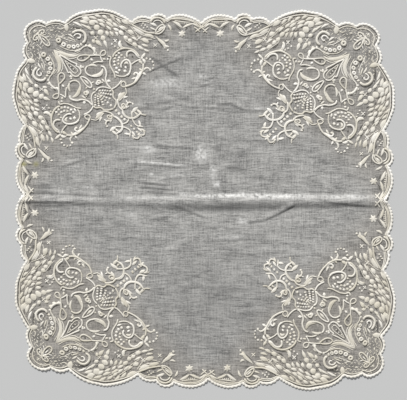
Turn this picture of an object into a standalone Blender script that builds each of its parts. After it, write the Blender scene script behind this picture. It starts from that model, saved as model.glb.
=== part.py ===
"""A square handkerchief of fine lawn with a scalloped, worked edge, lying open on a table.

The cloth is one flat solid. Its outline is a scalloped square, drawn a little out of true as real
cloth is, and it keeps the raised creases of the folds that it was pressed in. Metres, +Z up. The
underside rests on Z = 0, and the origin is under the middle of the cloth.
"""

import math
from collections import namedtuple

import bmesh
import bpy
import numpy as np

MM = 0.001

# Driving dimensions
CLOTH_WIDTH = 430.0 * MM
CLOTH_THICKNESS = 1.2 * MM
OUTLINE_STEP = 3.4 * MM
FEWEST_ARC_PIECES = 4
GRID_STEP = 15.0 * MM
CREASE_STEP = 2.4 * MM
CUT_TOLERANCE = 0.001 * MM

# Scallops along half a side, from the middle of the side to the corner lobe, in millimetres:
# where each one starts along the side, how far that notch is from the centre of the cloth, and
# how far the scallop rises above the line between its two notches.
Scallop = namedtuple("Scallop", "along outward rise")
HALF_SIDE = (
    Scallop(along=0.0, outward=201.6, rise=6.9),
    Scallop(along=38.2, outward=205.8, rise=5.3),
    Scallop(along=58.4, outward=206.0, rise=3.0),
    Scallop(along=78.7, outward=200.7, rise=13.9),
    Scallop(along=154.6, outward=198.7, rise=3.1),
    Scallop(along=174.8, outward=197.2, rise=13.0),
)

# How far the cloth lies out of true, in millimetres: the pull at places round its edge, each of
# which drags the cloth near it.
Pull = namedtuple("Pull", "x y pull_x pull_y")
PULL_REACH = 55.0
PULLS = (
    Pull(x=-117.0, y=206.0, pull_x=-2.6, pull_y=-2.4),
    Pull(x=0.0, y=202.0, pull_x=-3.8, pull_y=-5.0),
    Pull(x=117.0, y=206.0, pull_x=-4.3, pull_y=-3.4),
    Pull(x=186.0, y=186.0, pull_x=-4.0, pull_y=-4.4),
    Pull(x=206.0, y=117.0, pull_x=1.2, pull_y=-2.8),
    Pull(x=202.0, y=0.0, pull_x=1.2, pull_y=-3.0),
    Pull(x=206.0, y=-117.0, pull_x=1.0, pull_y=-3.0),
    Pull(x=186.0, y=-186.0, pull_x=1.5, pull_y=-0.8),
    Pull(x=117.0, y=-206.0, pull_x=5.0, pull_y=-2.6),
    Pull(x=0.0, y=-202.0, pull_x=4.5, pull_y=-3.2),
    Pull(x=-117.0, y=-206.0, pull_x=3.4, pull_y=1.6),
    Pull(x=-186.0, y=-186.0, pull_x=1.0, pull_y=7.0),
    Pull(x=-206.0, y=-117.0, pull_x=0.5, pull_y=7.6),
    Pull(x=-202.0, y=0.0, pull_x=-1.6, pull_y=4.0),
    Pull(x=-206.0, y=117.0, pull_x=-2.0, pull_y=3.1),
    Pull(x=-186.0, y=186.0, pull_x=-3.4, pull_y=-0.8),
)

# The pressed folds, in millimetres: stations along each fold, with the place of its crest, its
# height there, and how far its slope runs out on each side of the crest.
FoldStation = namedtuple("FoldStation", "along crest height reach_before reach_after")
MAIN_FOLD = (
    FoldStation(along=-204.0, crest=-0.6, height=2.1, reach_before=6.0, reach_after=7.0),
    FoldStation(along=-147.0, crest=-1.2, height=2.5, reach_before=7.0, reach_after=7.0),
    FoldStation(along=-92.0, crest=-1.8, height=1.7, reach_before=9.0, reach_after=7.0),
    FoldStation(along=-40.0, crest=-2.4, height=2.3, reach_before=12.0, reach_after=7.5),
    FoldStation(along=5.0, crest=-1.8, height=3.1, reach_before=13.0, reach_after=8.0),
    FoldStation(along=45.0, crest=-0.6, height=3.3, reach_before=12.0, reach_after=8.0),
    FoldStation(along=100.0, crest=-1.2, height=2.6, reach_before=11.0, reach_after=8.5),
    FoldStation(along=155.0, crest=-2.2, height=2.5, reach_before=8.0, reach_after=9.0),
    FoldStation(along=204.0, crest=-1.8, height=2.2, reach_before=6.5, reach_after=9.0),
)
CROSS_FOLD = (
    FoldStation(along=-210.0, crest=3.0, height=0.5, reach_before=5.0, reach_after=5.0),
    FoldStation(along=-110.0, crest=2.0, height=0.9, reach_before=5.0, reach_after=6.0),
    FoldStation(along=0.0, crest=1.0, height=0.6, reach_before=5.0, reach_after=6.0),
    FoldStation(along=110.0, crest=-1.0, height=1.0, reach_before=6.0, reach_after=5.0),
    FoldStation(along=210.0, crest=-2.0, height=0.5, reach_before=5.0, reach_after=5.0),
)

# Places where the cloth doesn't lie quite flat, in millimetres
Swell = namedtuple("Swell", "x y reach_x reach_y height")
SWELLS = (
    Swell(x=-176.0, y=-206.0, reach_x=46.0, reach_y=26.0, height=1.5),
    Swell(x=176.0, y=-206.0, reach_x=40.0, reach_y=22.0, height=1.1),
    Swell(x=-52.0, y=44.0, reach_x=48.0, reach_y=24.0, height=0.9),
    Swell(x=64.0, y=-34.0, reach_x=42.0, reach_y=20.0, height=1.0),
    Swell(x=-120.0, y=26.0, reach_x=40.0, reach_y=18.0, height=0.8),
)


def arc(start, end, rise, step):
    """Points of a round arc from start to end, without end, that bulges out to the right by rise."""
    start = np.array(start)
    end = np.array(end)
    chord = np.linalg.norm(end - start)
    forward = (end - start) / chord
    outward = np.array((forward[1], -forward[0]))
    radius = (chord * chord / 4.0 + rise * rise) / (2.0 * rise)
    centre = (start + end) / 2.0 - outward * (radius - rise)
    half_turn = math.asin(chord / (2.0 * radius))
    pieces = max(FEWEST_ARC_PIECES, round(2.0 * half_turn * radius / step))
    turn = np.linspace(-half_turn, half_turn, pieces, endpoint=False)[:, None]
    return centre + radius * (np.sin(turn) * forward + np.cos(turn) * outward)


def quarter_outline(step):
    """The outline from the middle of the right side to the middle of the top, anticlockwise."""
    up_the_side = [(row.outward, row.along) for row in HALF_SIDE]
    back_along_the_top = [(row.along, row.outward) for row in reversed(HALF_SIDE)]
    notches = up_the_side + back_along_the_top
    rises = [row.rise for row in HALF_SIDE] + [row.rise for row in reversed(HALF_SIDE[:-1])]
    arcs = [arc(notches[i], notches[i + 1], rise, step) for i, rise in enumerate(rises)]
    return np.concatenate(arcs)


def true_outline(step):
    """The whole scalloped square before it is drawn out of true: four turned quarters."""
    quarter = quarter_outline(step)
    turned = np.stack((-quarter[:, 1], quarter[:, 0]), axis=1)
    half = np.concatenate((quarter, turned))
    return np.concatenate((half, -half))


def drawn_out_of_true(points):
    """Each point moved by the mean of the pulls, where a near pull counts for more than a far one."""
    places = np.array([(row.x, row.y) for row in PULLS])
    pulls = np.array([(row.pull_x, row.pull_y) for row in PULLS])
    distance = np.linalg.norm(points[:, None, :] - places[None, :, :], axis=2)
    weight = np.exp(-((distance / PULL_REACH) ** 2))
    return points + (weight @ pulls) / weight.sum(axis=1, keepdims=True)


def cloth_outline():
    """The outline of the cloth in metres, centred on the origin and CLOTH_WIDTH wide."""
    points = drawn_out_of_true(true_outline(OUTLINE_STEP / MM))
    low, high = points.min(axis=0), points.max(axis=0)
    return (points - (low + high) / 2.0) * (CLOTH_WIDTH / (high[0] - low[0]))


def crease_height(along, across, stations):
    """Height of a pressed crease: a raised cosine that falls to nothing on each side of the crest."""
    places = [row.along for row in stations]
    crest = np.interp(along, places, [row.crest for row in stations])
    height = np.interp(along, places, [row.height for row in stations])
    before = np.interp(along, places, [row.reach_before for row in stations])
    after = np.interp(along, places, [row.reach_after for row in stations])
    offset = across - crest
    share = np.clip(np.abs(offset) / np.where(offset < 0.0, before, after), 0.0, 1.0)
    return height * np.cos(share * math.pi / 2.0) ** 2


def cloth_height(x, y):
    """Height of the underside over the table at x and y, all in metres."""
    x, y = x / MM, y / MM
    height = np.maximum(crease_height(x, y, MAIN_FOLD), crease_height(y, x, CROSS_FOLD))
    for row in SWELLS:
        share = np.hypot((x - row.x) / row.reach_x, (y - row.y) / row.reach_y)
        swell = row.height * np.cos(np.clip(share, 0.0, 1.0) * math.pi / 2.0) ** 2
        height = np.maximum(height, swell)
    return height * MM


def cut_places(half_length, stations):
    """Where the flat cloth is cut into cells: evenly, and closer together along a crease."""
    first = min(row.crest - row.reach_before for row in stations) * MM
    last = max(row.crest + row.reach_after for row in stations) * MM
    even = np.arange(-half_length, half_length, GRID_STEP) + GRID_STEP / 2.0
    clear = even[(even < first - CREASE_STEP) | (even > last + CREASE_STEP)]
    close = np.linspace(first, last, math.ceil((last - first) / CREASE_STEP) + 1)
    return np.concatenate((clear, close))


def cut_across(mesh, places, axis):
    """Cuts every face of the mesh along the planes at places on one axis."""
    direction = [0.0, 0.0, 0.0]
    direction[axis] = 1.0
    for place in places:
        bmesh.ops.bisect_plane(
            mesh,
            geom=mesh.verts[:] + mesh.edges[:] + mesh.faces[:],
            dist=CUT_TOLERANCE,
            plane_co=[place * part for part in direction],
            plane_no=direction,
        )


def folded_sheet_mesh(name):
    """The underside of the cloth: its outline filled, cut into cells and lifted into its folds."""
    outline = cloth_outline()
    sheet = bmesh.new()
    sheet.faces.new([sheet.verts.new((x, y, 0.0)) for x, y in outline])
    half_width, half_height = np.abs(outline).max(axis=0)
    cut_across(sheet, cut_places(half_width, CROSS_FOLD), axis=0)
    cut_across(sheet, cut_places(half_height, MAIN_FOLD), axis=1)
    bmesh.ops.triangulate(sheet, faces=sheet.faces[:])
    mesh = bpy.data.meshes.new(name)
    sheet.to_mesh(mesh)
    sheet.free()

    places = np.empty(len(mesh.vertices) * 3)
    mesh.vertices.foreach_get("co", places)
    places = places.reshape(-1, 3)
    places[:, 2] = cloth_height(places[:, 0], places[:, 1])
    mesh.vertices.foreach_set("co", places.ravel())
    mesh.update()
    return mesh


def thread_material():
    """Undyed cotton: the off-white of the worked edge and the lawn."""
    material = bpy.data.materials.new("whitework_lawn")
    material.use_nodes = True
    shader = material.node_tree.nodes["Principled BSDF"]
    shader.inputs["Base Color"].default_value = (0.56, 0.54, 0.49, 1.0)
    shader.inputs["Roughness"].default_value = 0.85
    shader.inputs["Metallic"].default_value = 0.0
    return material


def make_cloth(collection):
    """The cloth as one closed solid, its thickness raised from the folded underside."""
    mesh = folded_sheet_mesh("cloth")
    mesh.shade_smooth()
    mesh.materials.append(thread_material())
    cloth = bpy.data.objects.new("cloth", mesh)
    collection.objects.link(cloth)
    wall = cloth.modifiers.new("thickness", "SOLIDIFY")
    wall.thickness = CLOTH_THICKNESS
    wall.offset = 1.0
    wall.use_rim = True
    return cloth


def clear_scene():
    """Removes every object of the scene that the script starts in."""
    for thing in list(bpy.data.objects):
        bpy.data.objects.remove(thing, do_unlink=True)


def main():
    """Builds the handkerchief in a collection of its own."""
    clear_scene()
    collection = bpy.data.collections.new("handkerchief")
    bpy.context.scene.collection.children.link(collection)
    make_cloth(collection)


if __name__ == "__main__":
    main()
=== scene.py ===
"""Looks of a square whitework handkerchief that lies open on a pale floor.

The cloth is sheer cotton lawn that keeps its pressed folds. Its scalloped edge is worked over a
cord with small loops, and the border and the four corners are embroidered in raised cords, satin
leaves, dots and eyelets.

Sizes in the tables are millimetres. The embroidery is set out on one eighth of the cloth: t runs
along a side from its middle, d runs outward from the centre, and d is never less than t. Mirrored
and turned copies make the whole, and every copy is then drawn out of true with the cloth.
"""
from __future__ import annotations

import itertools
import logging
import math
from dataclasses import dataclass
from enum import Enum
from typing import NamedTuple

import bpy
import numpy as np
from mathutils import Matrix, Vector


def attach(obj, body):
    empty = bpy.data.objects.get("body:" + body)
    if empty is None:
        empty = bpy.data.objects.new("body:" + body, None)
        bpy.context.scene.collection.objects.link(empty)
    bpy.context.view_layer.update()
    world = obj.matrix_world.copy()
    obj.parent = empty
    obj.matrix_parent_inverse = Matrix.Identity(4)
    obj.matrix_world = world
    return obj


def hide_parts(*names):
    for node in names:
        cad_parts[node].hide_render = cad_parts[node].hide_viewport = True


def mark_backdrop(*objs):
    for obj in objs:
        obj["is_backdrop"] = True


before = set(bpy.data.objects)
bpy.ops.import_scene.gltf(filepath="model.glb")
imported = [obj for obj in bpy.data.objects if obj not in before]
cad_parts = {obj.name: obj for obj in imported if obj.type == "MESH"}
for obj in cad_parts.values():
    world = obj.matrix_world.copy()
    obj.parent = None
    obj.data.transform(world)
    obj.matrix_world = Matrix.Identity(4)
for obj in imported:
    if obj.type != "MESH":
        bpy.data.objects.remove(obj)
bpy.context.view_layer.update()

MM = 0.001
LOG = logging.getLogger("handkerchief")

# The picture's width in pixels, the cloth's in millimetres and in pixels, and what one pixel shows
PICTURE_WIDTH = 407
CLOTH_WIDTH = 430.0
CLOTH_PIXELS = 382.5
MM_PER_PIXEL = CLOTH_WIDTH / CLOTH_PIXELS

Point = tuple[float, float]
Colour = tuple[float, float, float, float]


class Scallop(NamedTuple):
    """One scallop: where it starts along the side, how far out that is, and how far it bulges."""

    along: float
    outward: float
    rise: float


class Pull(NamedTuple):
    """How far a place on the edge is drawn out of true."""

    x: float
    y: float
    pull_x: float
    pull_y: float


class FoldStation(NamedTuple):
    """A station along a pressed fold: its crest, height, and the run of its slope on each side."""

    along: float
    crest: float
    height: float
    reach_before: float
    reach_after: float


class Patch(NamedTuple):
    """A soft oval patch: its middle, how far it reaches, and how strong it is there."""

    x: float
    y: float
    reach_x: float
    reach_y: float
    strength: float


class Crease(NamedTuple):
    """A crease from one point to another, with its height, its slope's run above and below, and the strength
    of the shade painted below it.
    """

    x0: float
    y0: float
    x1: float
    y1: float
    height: float
    above: float
    below: float
    shade: float = 0.8


HALF_SIDE = (
    Scallop(along=0.0, outward=201.6, rise=6.9),
    Scallop(along=38.2, outward=205.8, rise=5.3),
    Scallop(along=58.4, outward=206.0, rise=3.0),
    Scallop(along=78.7, outward=200.7, rise=13.9),
    Scallop(along=154.6, outward=198.7, rise=3.1),
    Scallop(along=174.8, outward=197.2, rise=13.0),
)
INNER_SIDE = (
    Scallop(along=0.0, outward=197.4, rise=7.3),
    Scallop(along=38.6, outward=202.2, rise=4.6),
    Scallop(along=58.6, outward=202.3, rise=2.6),
    Scallop(along=79.3, outward=197.4, rise=13.2),
    Scallop(along=154.4, outward=194.0, rise=3.6),
    Scallop(along=176.4, outward=192.8, rise=8.4),
)

PULL_REACH = 55.0
PULLS = (
    Pull(x=-117.0, y=206.0, pull_x=-2.6, pull_y=-2.4),
    Pull(x=0.0, y=202.0, pull_x=-3.8, pull_y=-5.0),
    Pull(x=117.0, y=206.0, pull_x=-4.3, pull_y=-3.4),
    Pull(x=186.0, y=186.0, pull_x=-4.0, pull_y=-4.4),
    Pull(x=206.0, y=117.0, pull_x=1.2, pull_y=-2.8),
    Pull(x=202.0, y=0.0, pull_x=1.2, pull_y=-3.0),
    Pull(x=206.0, y=-117.0, pull_x=1.0, pull_y=-3.0),
    Pull(x=186.0, y=-186.0, pull_x=1.5, pull_y=-0.8),
    Pull(x=117.0, y=-206.0, pull_x=5.0, pull_y=-2.6),
    Pull(x=0.0, y=-202.0, pull_x=4.5, pull_y=-3.2),
    Pull(x=-117.0, y=-206.0, pull_x=3.4, pull_y=1.6),
    Pull(x=-186.0, y=-186.0, pull_x=1.0, pull_y=7.0),
    Pull(x=-206.0, y=-117.0, pull_x=0.5, pull_y=7.6),
    Pull(x=-202.0, y=0.0, pull_x=-1.6, pull_y=4.0),
    Pull(x=-206.0, y=117.0, pull_x=-2.0, pull_y=3.1),
    Pull(x=-186.0, y=186.0, pull_x=-3.4, pull_y=-0.8),
)

# How far the corner work is drawn on from that, which fades out towards the edge
INNER_REACH = 40.0
INNER_PULLS = (
    Pull(x=80.0, y=80.0, pull_x=2.0, pull_y=0.5),
    Pull(x=72.0, y=158.0, pull_x=3.5, pull_y=-1.5),
    Pull(x=105.0, y=152.0, pull_x=0.7, pull_y=-2.0),
    Pull(x=155.0, y=141.0, pull_x=-0.5, pull_y=-0.8),
    Pull(x=80.0, y=-80.0, pull_x=-0.7, pull_y=-1.7),
    Pull(x=85.0, y=-150.0, pull_x=-2.5, pull_y=2.5),
    Pull(x=155.0, y=-143.0, pull_x=2.0, pull_y=-3.0),
    Pull(x=-80.0, y=-80.0, pull_x=-2.5, pull_y=-9.5),
    Pull(x=-127.0, y=-127.0, pull_x=-1.5, pull_y=-6.0),
    Pull(x=-140.0, y=-160.0, pull_x=-5.0, pull_y=-3.5),
    Pull(x=-157.0, y=-142.0, pull_x=-2.5, pull_y=-6.0),
    Pull(x=-169.0, y=-169.0, pull_x=0.0, pull_y=-2.0),
    Pull(x=-88.0, y=-155.0, pull_x=-4.0, pull_y=-1.3),
    Pull(x=-155.0, y=-85.0, pull_x=2.4, pull_y=-7.5),
    Pull(x=-80.0, y=80.0, pull_x=0.0, pull_y=0.0),
    Pull(x=-120.0, y=150.0, pull_x=0.0, pull_y=0.0),
)

MAIN_FOLD = (
    FoldStation(along=-204.0, crest=-0.6, height=2.1, reach_before=6.0, reach_after=7.0),
    FoldStation(along=-147.0, crest=-1.2, height=2.5, reach_before=7.0, reach_after=7.0),
    FoldStation(along=-92.0, crest=-1.8, height=1.7, reach_before=9.0, reach_after=7.0),
    FoldStation(along=-40.0, crest=-2.4, height=2.3, reach_before=12.0, reach_after=7.5),
    FoldStation(along=5.0, crest=-1.8, height=3.1, reach_before=13.0, reach_after=8.0),
    FoldStation(along=45.0, crest=-0.6, height=3.3, reach_before=12.0, reach_after=8.0),
    FoldStation(along=100.0, crest=-1.2, height=2.6, reach_before=11.0, reach_after=8.5),
    FoldStation(along=155.0, crest=-2.2, height=2.5, reach_before=8.0, reach_after=9.0),
    FoldStation(along=204.0, crest=-1.8, height=2.2, reach_before=6.5, reach_after=9.0),
)
CROSS_FOLD = (
    FoldStation(along=-210.0, crest=3.0, height=0.5, reach_before=5.0, reach_after=5.0),
    FoldStation(along=-110.0, crest=2.0, height=0.9, reach_before=5.0, reach_after=6.0),
    FoldStation(along=0.0, crest=1.0, height=0.6, reach_before=5.0, reach_after=6.0),
    FoldStation(along=110.0, crest=-1.0, height=1.0, reach_before=6.0, reach_after=5.0),
    FoldStation(along=210.0, crest=-2.0, height=0.5, reach_before=5.0, reach_after=5.0),
)
SWELLS = (
    Patch(x=-176.0, y=-206.0, reach_x=46.0, reach_y=26.0, strength=1.5),
    Patch(x=176.0, y=-206.0, reach_x=40.0, reach_y=22.0, strength=1.1),
    Patch(x=-52.0, y=44.0, reach_x=48.0, reach_y=24.0, strength=0.9),
    Patch(x=64.0, y=-34.0, reach_x=42.0, reach_y=20.0, strength=1.0),
    Patch(x=-120.0, y=26.0, reach_x=40.0, reach_y=18.0, strength=0.8),
)

# Finer creases of the plain field and the fold's ends: x0, y0, x1, y1, height, above, below, and the
# strength of the shade painted below each
CREASES = (
    Crease(-197.0, 9.4, -166.0, 7.8, 0.6, 5.0, 1.8),
    Crease(-166.0, 7.8, -92.0, 3.6, 0.6, 5.0, 1.8),
    Crease(-196.0, -1.6, -150.0, -2.2, 0.6, 3.0, 1.6),
    Crease(-194.0, -6.0, -148.0, -6.4, 0.6, 3.0, 1.6),
    Crease(136.0, -1.4, 194.0, -7.8, 0.7, 4.0, 1.8),
    Crease(146.0, -3.6, 180.0, -1.0, 0.6, 3.0, 1.8),
    Crease(101.0, -5.6, 83.0, -15.0, 1.2, 5.0, 2.0, 1.4),
    Crease(83.0, -15.0, 68.0, -22.0, 1.1, 5.0, 1.8),
    Crease(68.0, -22.0, 50.0, -24.8, 0.8, 4.5, 1.8),
    Crease(-60.0, -20.4, -42.0, -18.6, 0.9, 2.6, 2.0),
    Crease(-72.0, 21.4, -42.0, 17.4, 0.8, 2.4, 2.4),
    Crease(-70.0, 15.6, -36.0, 12.0, 0.7, 2.2, 2.2),
    Crease(-64.0, 10.4, -30.0, 7.4, 0.6, 2.2, 2.2),
    Crease(-48.0, 23.0, -22.0, 27.0, 0.5, 2.2, 2.2),
    Crease(-77.0, 42.6, -22.0, 37.6, 0.95, 1.5, 3.0, 0.1),
    Crease(-60.0, 162.5, -30.0, 141.0, 0.9, 2.6, 2.2, 1.8),
    Crease(-64.0, 144.6, -26.0, 160.6, 0.8, 2.6, 2.2, 1.6),
    Crease(-84.0, 104.6, -38.0, 104.2, 0.8, 2.8, 3.4),
    Crease(-66.0, 107.0, -38.0, 112.0, 0.8, 4.0, 4.0),
    Crease(15.0, 108.6, 31.0, 109.4, 0.7, 2.4, 2.2, 1.6),
    Crease(29.0, 109.6, 45.0, 102.6, 0.8, 2.4, 2.2, 2.0),
    Crease(-17.0, 104.6, 36.0, 103.6, 0.6, 2.0, 1.8),
    Crease(43.0, 102.2, 76.0, 101.6, 0.6, 1.6, 2.4),
    Crease(0.0, 134.4, 12.0, 138.8, 0.7, 3.4, 1.8),
    Crease(-4.0, 128.6, 10.0, 132.6, 0.7, 3.0, 2.0),
    Crease(-149.0, 62.0, -118.0, 61.4, 0.7, 2.4, 1.8),
    Crease(-160.0, 38.6, -134.0, 46.6, 0.8, 2.2, 2.0),
    Crease(25.0, 38.0, 48.0, 35.0, 0.9, 4.0, 2.2),
    Crease(9.0, 61.0, 18.0, 57.0, 0.7, 2.6, 2.2),
    Crease(18.0, 57.0, 21.0, 49.0, 0.7, 2.6, 2.2),
    Crease(-20.0, 195.0, -15.0, 181.0, 1.0, 3.0, 3.0),
    Crease(-7.0, 186.0, -1.0, 173.0, 1.0, 3.0, 3.0),
    Crease(-33.0, -5.0, 0.0, -18.0, 0.7, 2.4, 2.4),
    Crease(8.0, -45.4, 26.0, -44.0, 0.6, 2.0, 2.0),
    Crease(28.0, -45.2, 44.0, -42.0, 0.6, 2.0, 2.0),
    Crease(36.0, -58.0, 60.0, -62.0, 0.6, 2.4, 2.2),
    Crease(-44.0, -56.0, -14.0, -53.0, 0.5, 2.4, 2.2),
    Crease(-60.0, 62.0, -20.0, 60.0, 0.5, 3.0, 2.6),
    Crease(30.0, 70.0, 96.0, 66.0, 0.4, 3.4, 3.0),
    Crease(-110.0, -40.0, -40.0, -44.0, 0.45, 3.4, 3.0),
    Crease(20.0, -60.0, 90.0, -57.0, 0.4, 3.4, 3.0),
    Crease(-30.0, -96.0, 60.0, -99.0, 0.4, 3.4, 3.0),
    Crease(-90.0, 96.0, 0.0, 92.0, 0.35, 3.4, 3.0),
)

# Whiter clouds on the plain field, with highlights painted along the main fold and some crease ridges;
# thinner places that look darker, with shade painted on the fold's lower side and below some creases, and
# the cloth darker towards the bottom; and two small yellowed spots
CLOUDS_AND_HIGHLIGHTS = (
    Patch(-3.0, 51.0, 13.0, 15.0, 1.05),
    Patch(-62.6, 57.4, 12.0, 7.0, 1.0),
    Patch(11.0, 34.4, 7.0, 6.0, 1.1),
    Patch(9.8, 26.5, 5.0, 5.0, 0.9),
    Patch(14.2, 17.5, 7.0, 6.0, 1.05),
    Patch(-59.0, 28.4, 4.0, 3.0, 1.0),
    # Highlights painted along the ridges of some creases
    Patch(-70.0, 42.4, 13.0, 2.1, 0.8),
    Patch(-56.0, 41.1, 13.0, 2.1, 0.95),
    Patch(-43.0, 39.9, 13.0, 2.1, 0.8),
    Patch(-28.0, 38.4, 14.0, 2.1, 0.7),
    Patch(-2.0, 138.6, 9.0, 2.4, 0.9),
    Patch(62.0, 102.4, 16.0, 2.0, 0.8),
    Patch(42.8, -24.0, 9.0, 6.0, 0.9),
    Patch(-161.8, 7.4, 9.0, 4.0, 0.6),
    Patch(-130.3, 14.2, 10.0, 5.0, 0.6),
    Patch(-83.0, -16.2, 9.0, 4.0, 0.5),
    # Highlights painted along the crest and upper side of the main fold
    Patch(20.0, 4.6, 66.0, 4.2, 1.0),
    Patch(84.0, 4.0, 70.0, 5.0, 0.95),
    Patch(43.0, 5.4, 12.0, 5.0, 1.1),
    Patch(58.0, 5.0, 9.0, 4.0, 1.2),
    Patch(-22.0, 6.4, 12.0, 4.0, 0.9),
    Patch(160.0, 3.5, 45.0, 4.0, 0.8),
    Patch(-66.0, 2.6, 62.0, 2.6, 0.45),
    Patch(-50.0, -5.0, 14.0, 5.0, 0.6),
    Patch(-42.0, 131.5, 36.0, 9.0, 0.7),
    Patch(4.0, 131.0, 8.0, 3.4, 0.6),
    Patch(3.0, 110.0, 3.0, 80.0, 0.25),
    Patch(-40.0, 28.0, 26.0, 9.0, 0.3),
    Patch(30.0, -42.0, 24.0, 5.0, 0.35),
)
THIN_AND_SHADED_PLACES = (
    # Shade painted on the lower side of the main fold
    Patch(32.0, -9.6, 92.0, 7.6, 1.1),
    Patch(-30.0, -7.6, 50.0, 4.4, 0.8),
    Patch(110.0, -8.0, 70.0, 6.0, 0.6),
    # Darker places of the field; the first is shade painted below two creases
    Patch(-53.0, 110.0, 22.0, 7.0, 0.55),
    Patch(37.0, 35.6, 14.0, 6.0, 0.5),
    Patch(-181.0, 13.0, 22.0, 9.0, 0.6),
    Patch(15.0, 56.0, 8.0, 7.0, 0.35),
    Patch(-55.0, 13.0, 24.0, 9.0, 0.35),
    Patch(-10.0, 188.0, 16.0, 12.0, 0.4),
    Patch(0.0, 160.0, 70.0, 16.0, 0.2),
    Patch(-178.0, 60.0, 26.0, 26.0, 0.25),
    Patch(-120.0, -30.0, 60.0, 26.0, 0.25),
    Patch(37.0, 38.0, 14.0, 5.0, 0.7),
    # The cloth darker towards the bottom
    Patch(10.0, -120.0, 130.0, 90.0, 0.45),
    Patch(-30.0, -170.0, 70.0, 30.0, 0.35),
)
STAINS = (
    Patch(-203.0, 40.0, 6.0, 5.0, 0.8),
    Patch(-188.7, 40.0, 5.0, 5.0, 0.6),
)

# Ground of the border on one eighth of the cloth: densely worked and warm, or open net and darker
WORKED_GROUND = (
    Patch(114.0, 208.0, 50.0, 20.0, 1.6),
    Patch(98.0, 194.0, 34.0, 18.0, 1.1),
    Patch(78.0, 182.0, 26.0, 12.0, 0.9),
    Patch(30.0, 205.0, 26.0, 7.0, 0.9),
    Patch(66.0, 187.0, 22.0, 7.0, 0.9),
    Patch(153.0, 193.0, 7.0, 9.0, 1.0),
    Patch(184.0, 194.0, 16.0, 7.0, 0.5),
    Patch(120.0, 150.0, 95.0, 60.0, 0.28),
    Patch(90.0, 96.0, 44.0, 44.0, 0.22),
)
NET_GROUND = (
    Patch(182.0, 182.0, 17.0, 17.0, 0.8),
    Patch(164.0, 188.0, 13.0, 9.0, 0.95),
    Patch(146.0, 192.0, 12.0, 5.0, 0.75),
    Patch(150.0, 180.0, 13.0, 7.0, 0.6),
    Patch(70.0, 197.0, 9.0, 4.0, 1.0),
    Patch(50.0, 201.0, 8.0, 7.0, 0.8),
    Patch(24.0, 198.0, 10.0, 5.0, 0.5),
    Patch(45.0, 190.0, 9.0, 8.0, 0.5),
    Patch(121.0, 144.0, 9.0, 6.0, 0.5),
    Patch(85.0, 150.0, 12.0, 12.0, 0.35),
)


def soft_patches(x: np.ndarray, y: np.ndarray, rows: tuple[Patch, ...]) -> np.ndarray:
    """Strength of the strongest patch at each place: a squared cosine that falls to nothing at its rim.

    Args:
        x: places across, in millimetres.
        y: places up, in millimetres.
        rows: the patches.

    Returns:
        The strength at each place.
    """
    field = np.zeros_like(x)
    for row in rows:
        share = np.hypot((x - row.x) / row.reach_x, (y - row.y) / row.reach_y)
        bump = row.strength * np.cos(np.clip(share, 0.0, 1.0) * math.pi / 2.0) ** 2
        field = np.maximum(field, bump)
    return field


def lower_share(y: np.ndarray) -> np.ndarray:
    """How far down the cloth each place lies, where it is duller: from 0 at the top to 1."""
    return np.clip(0.5 - y / CLOTH_WIDTH, 0.0, 1.0)


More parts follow.
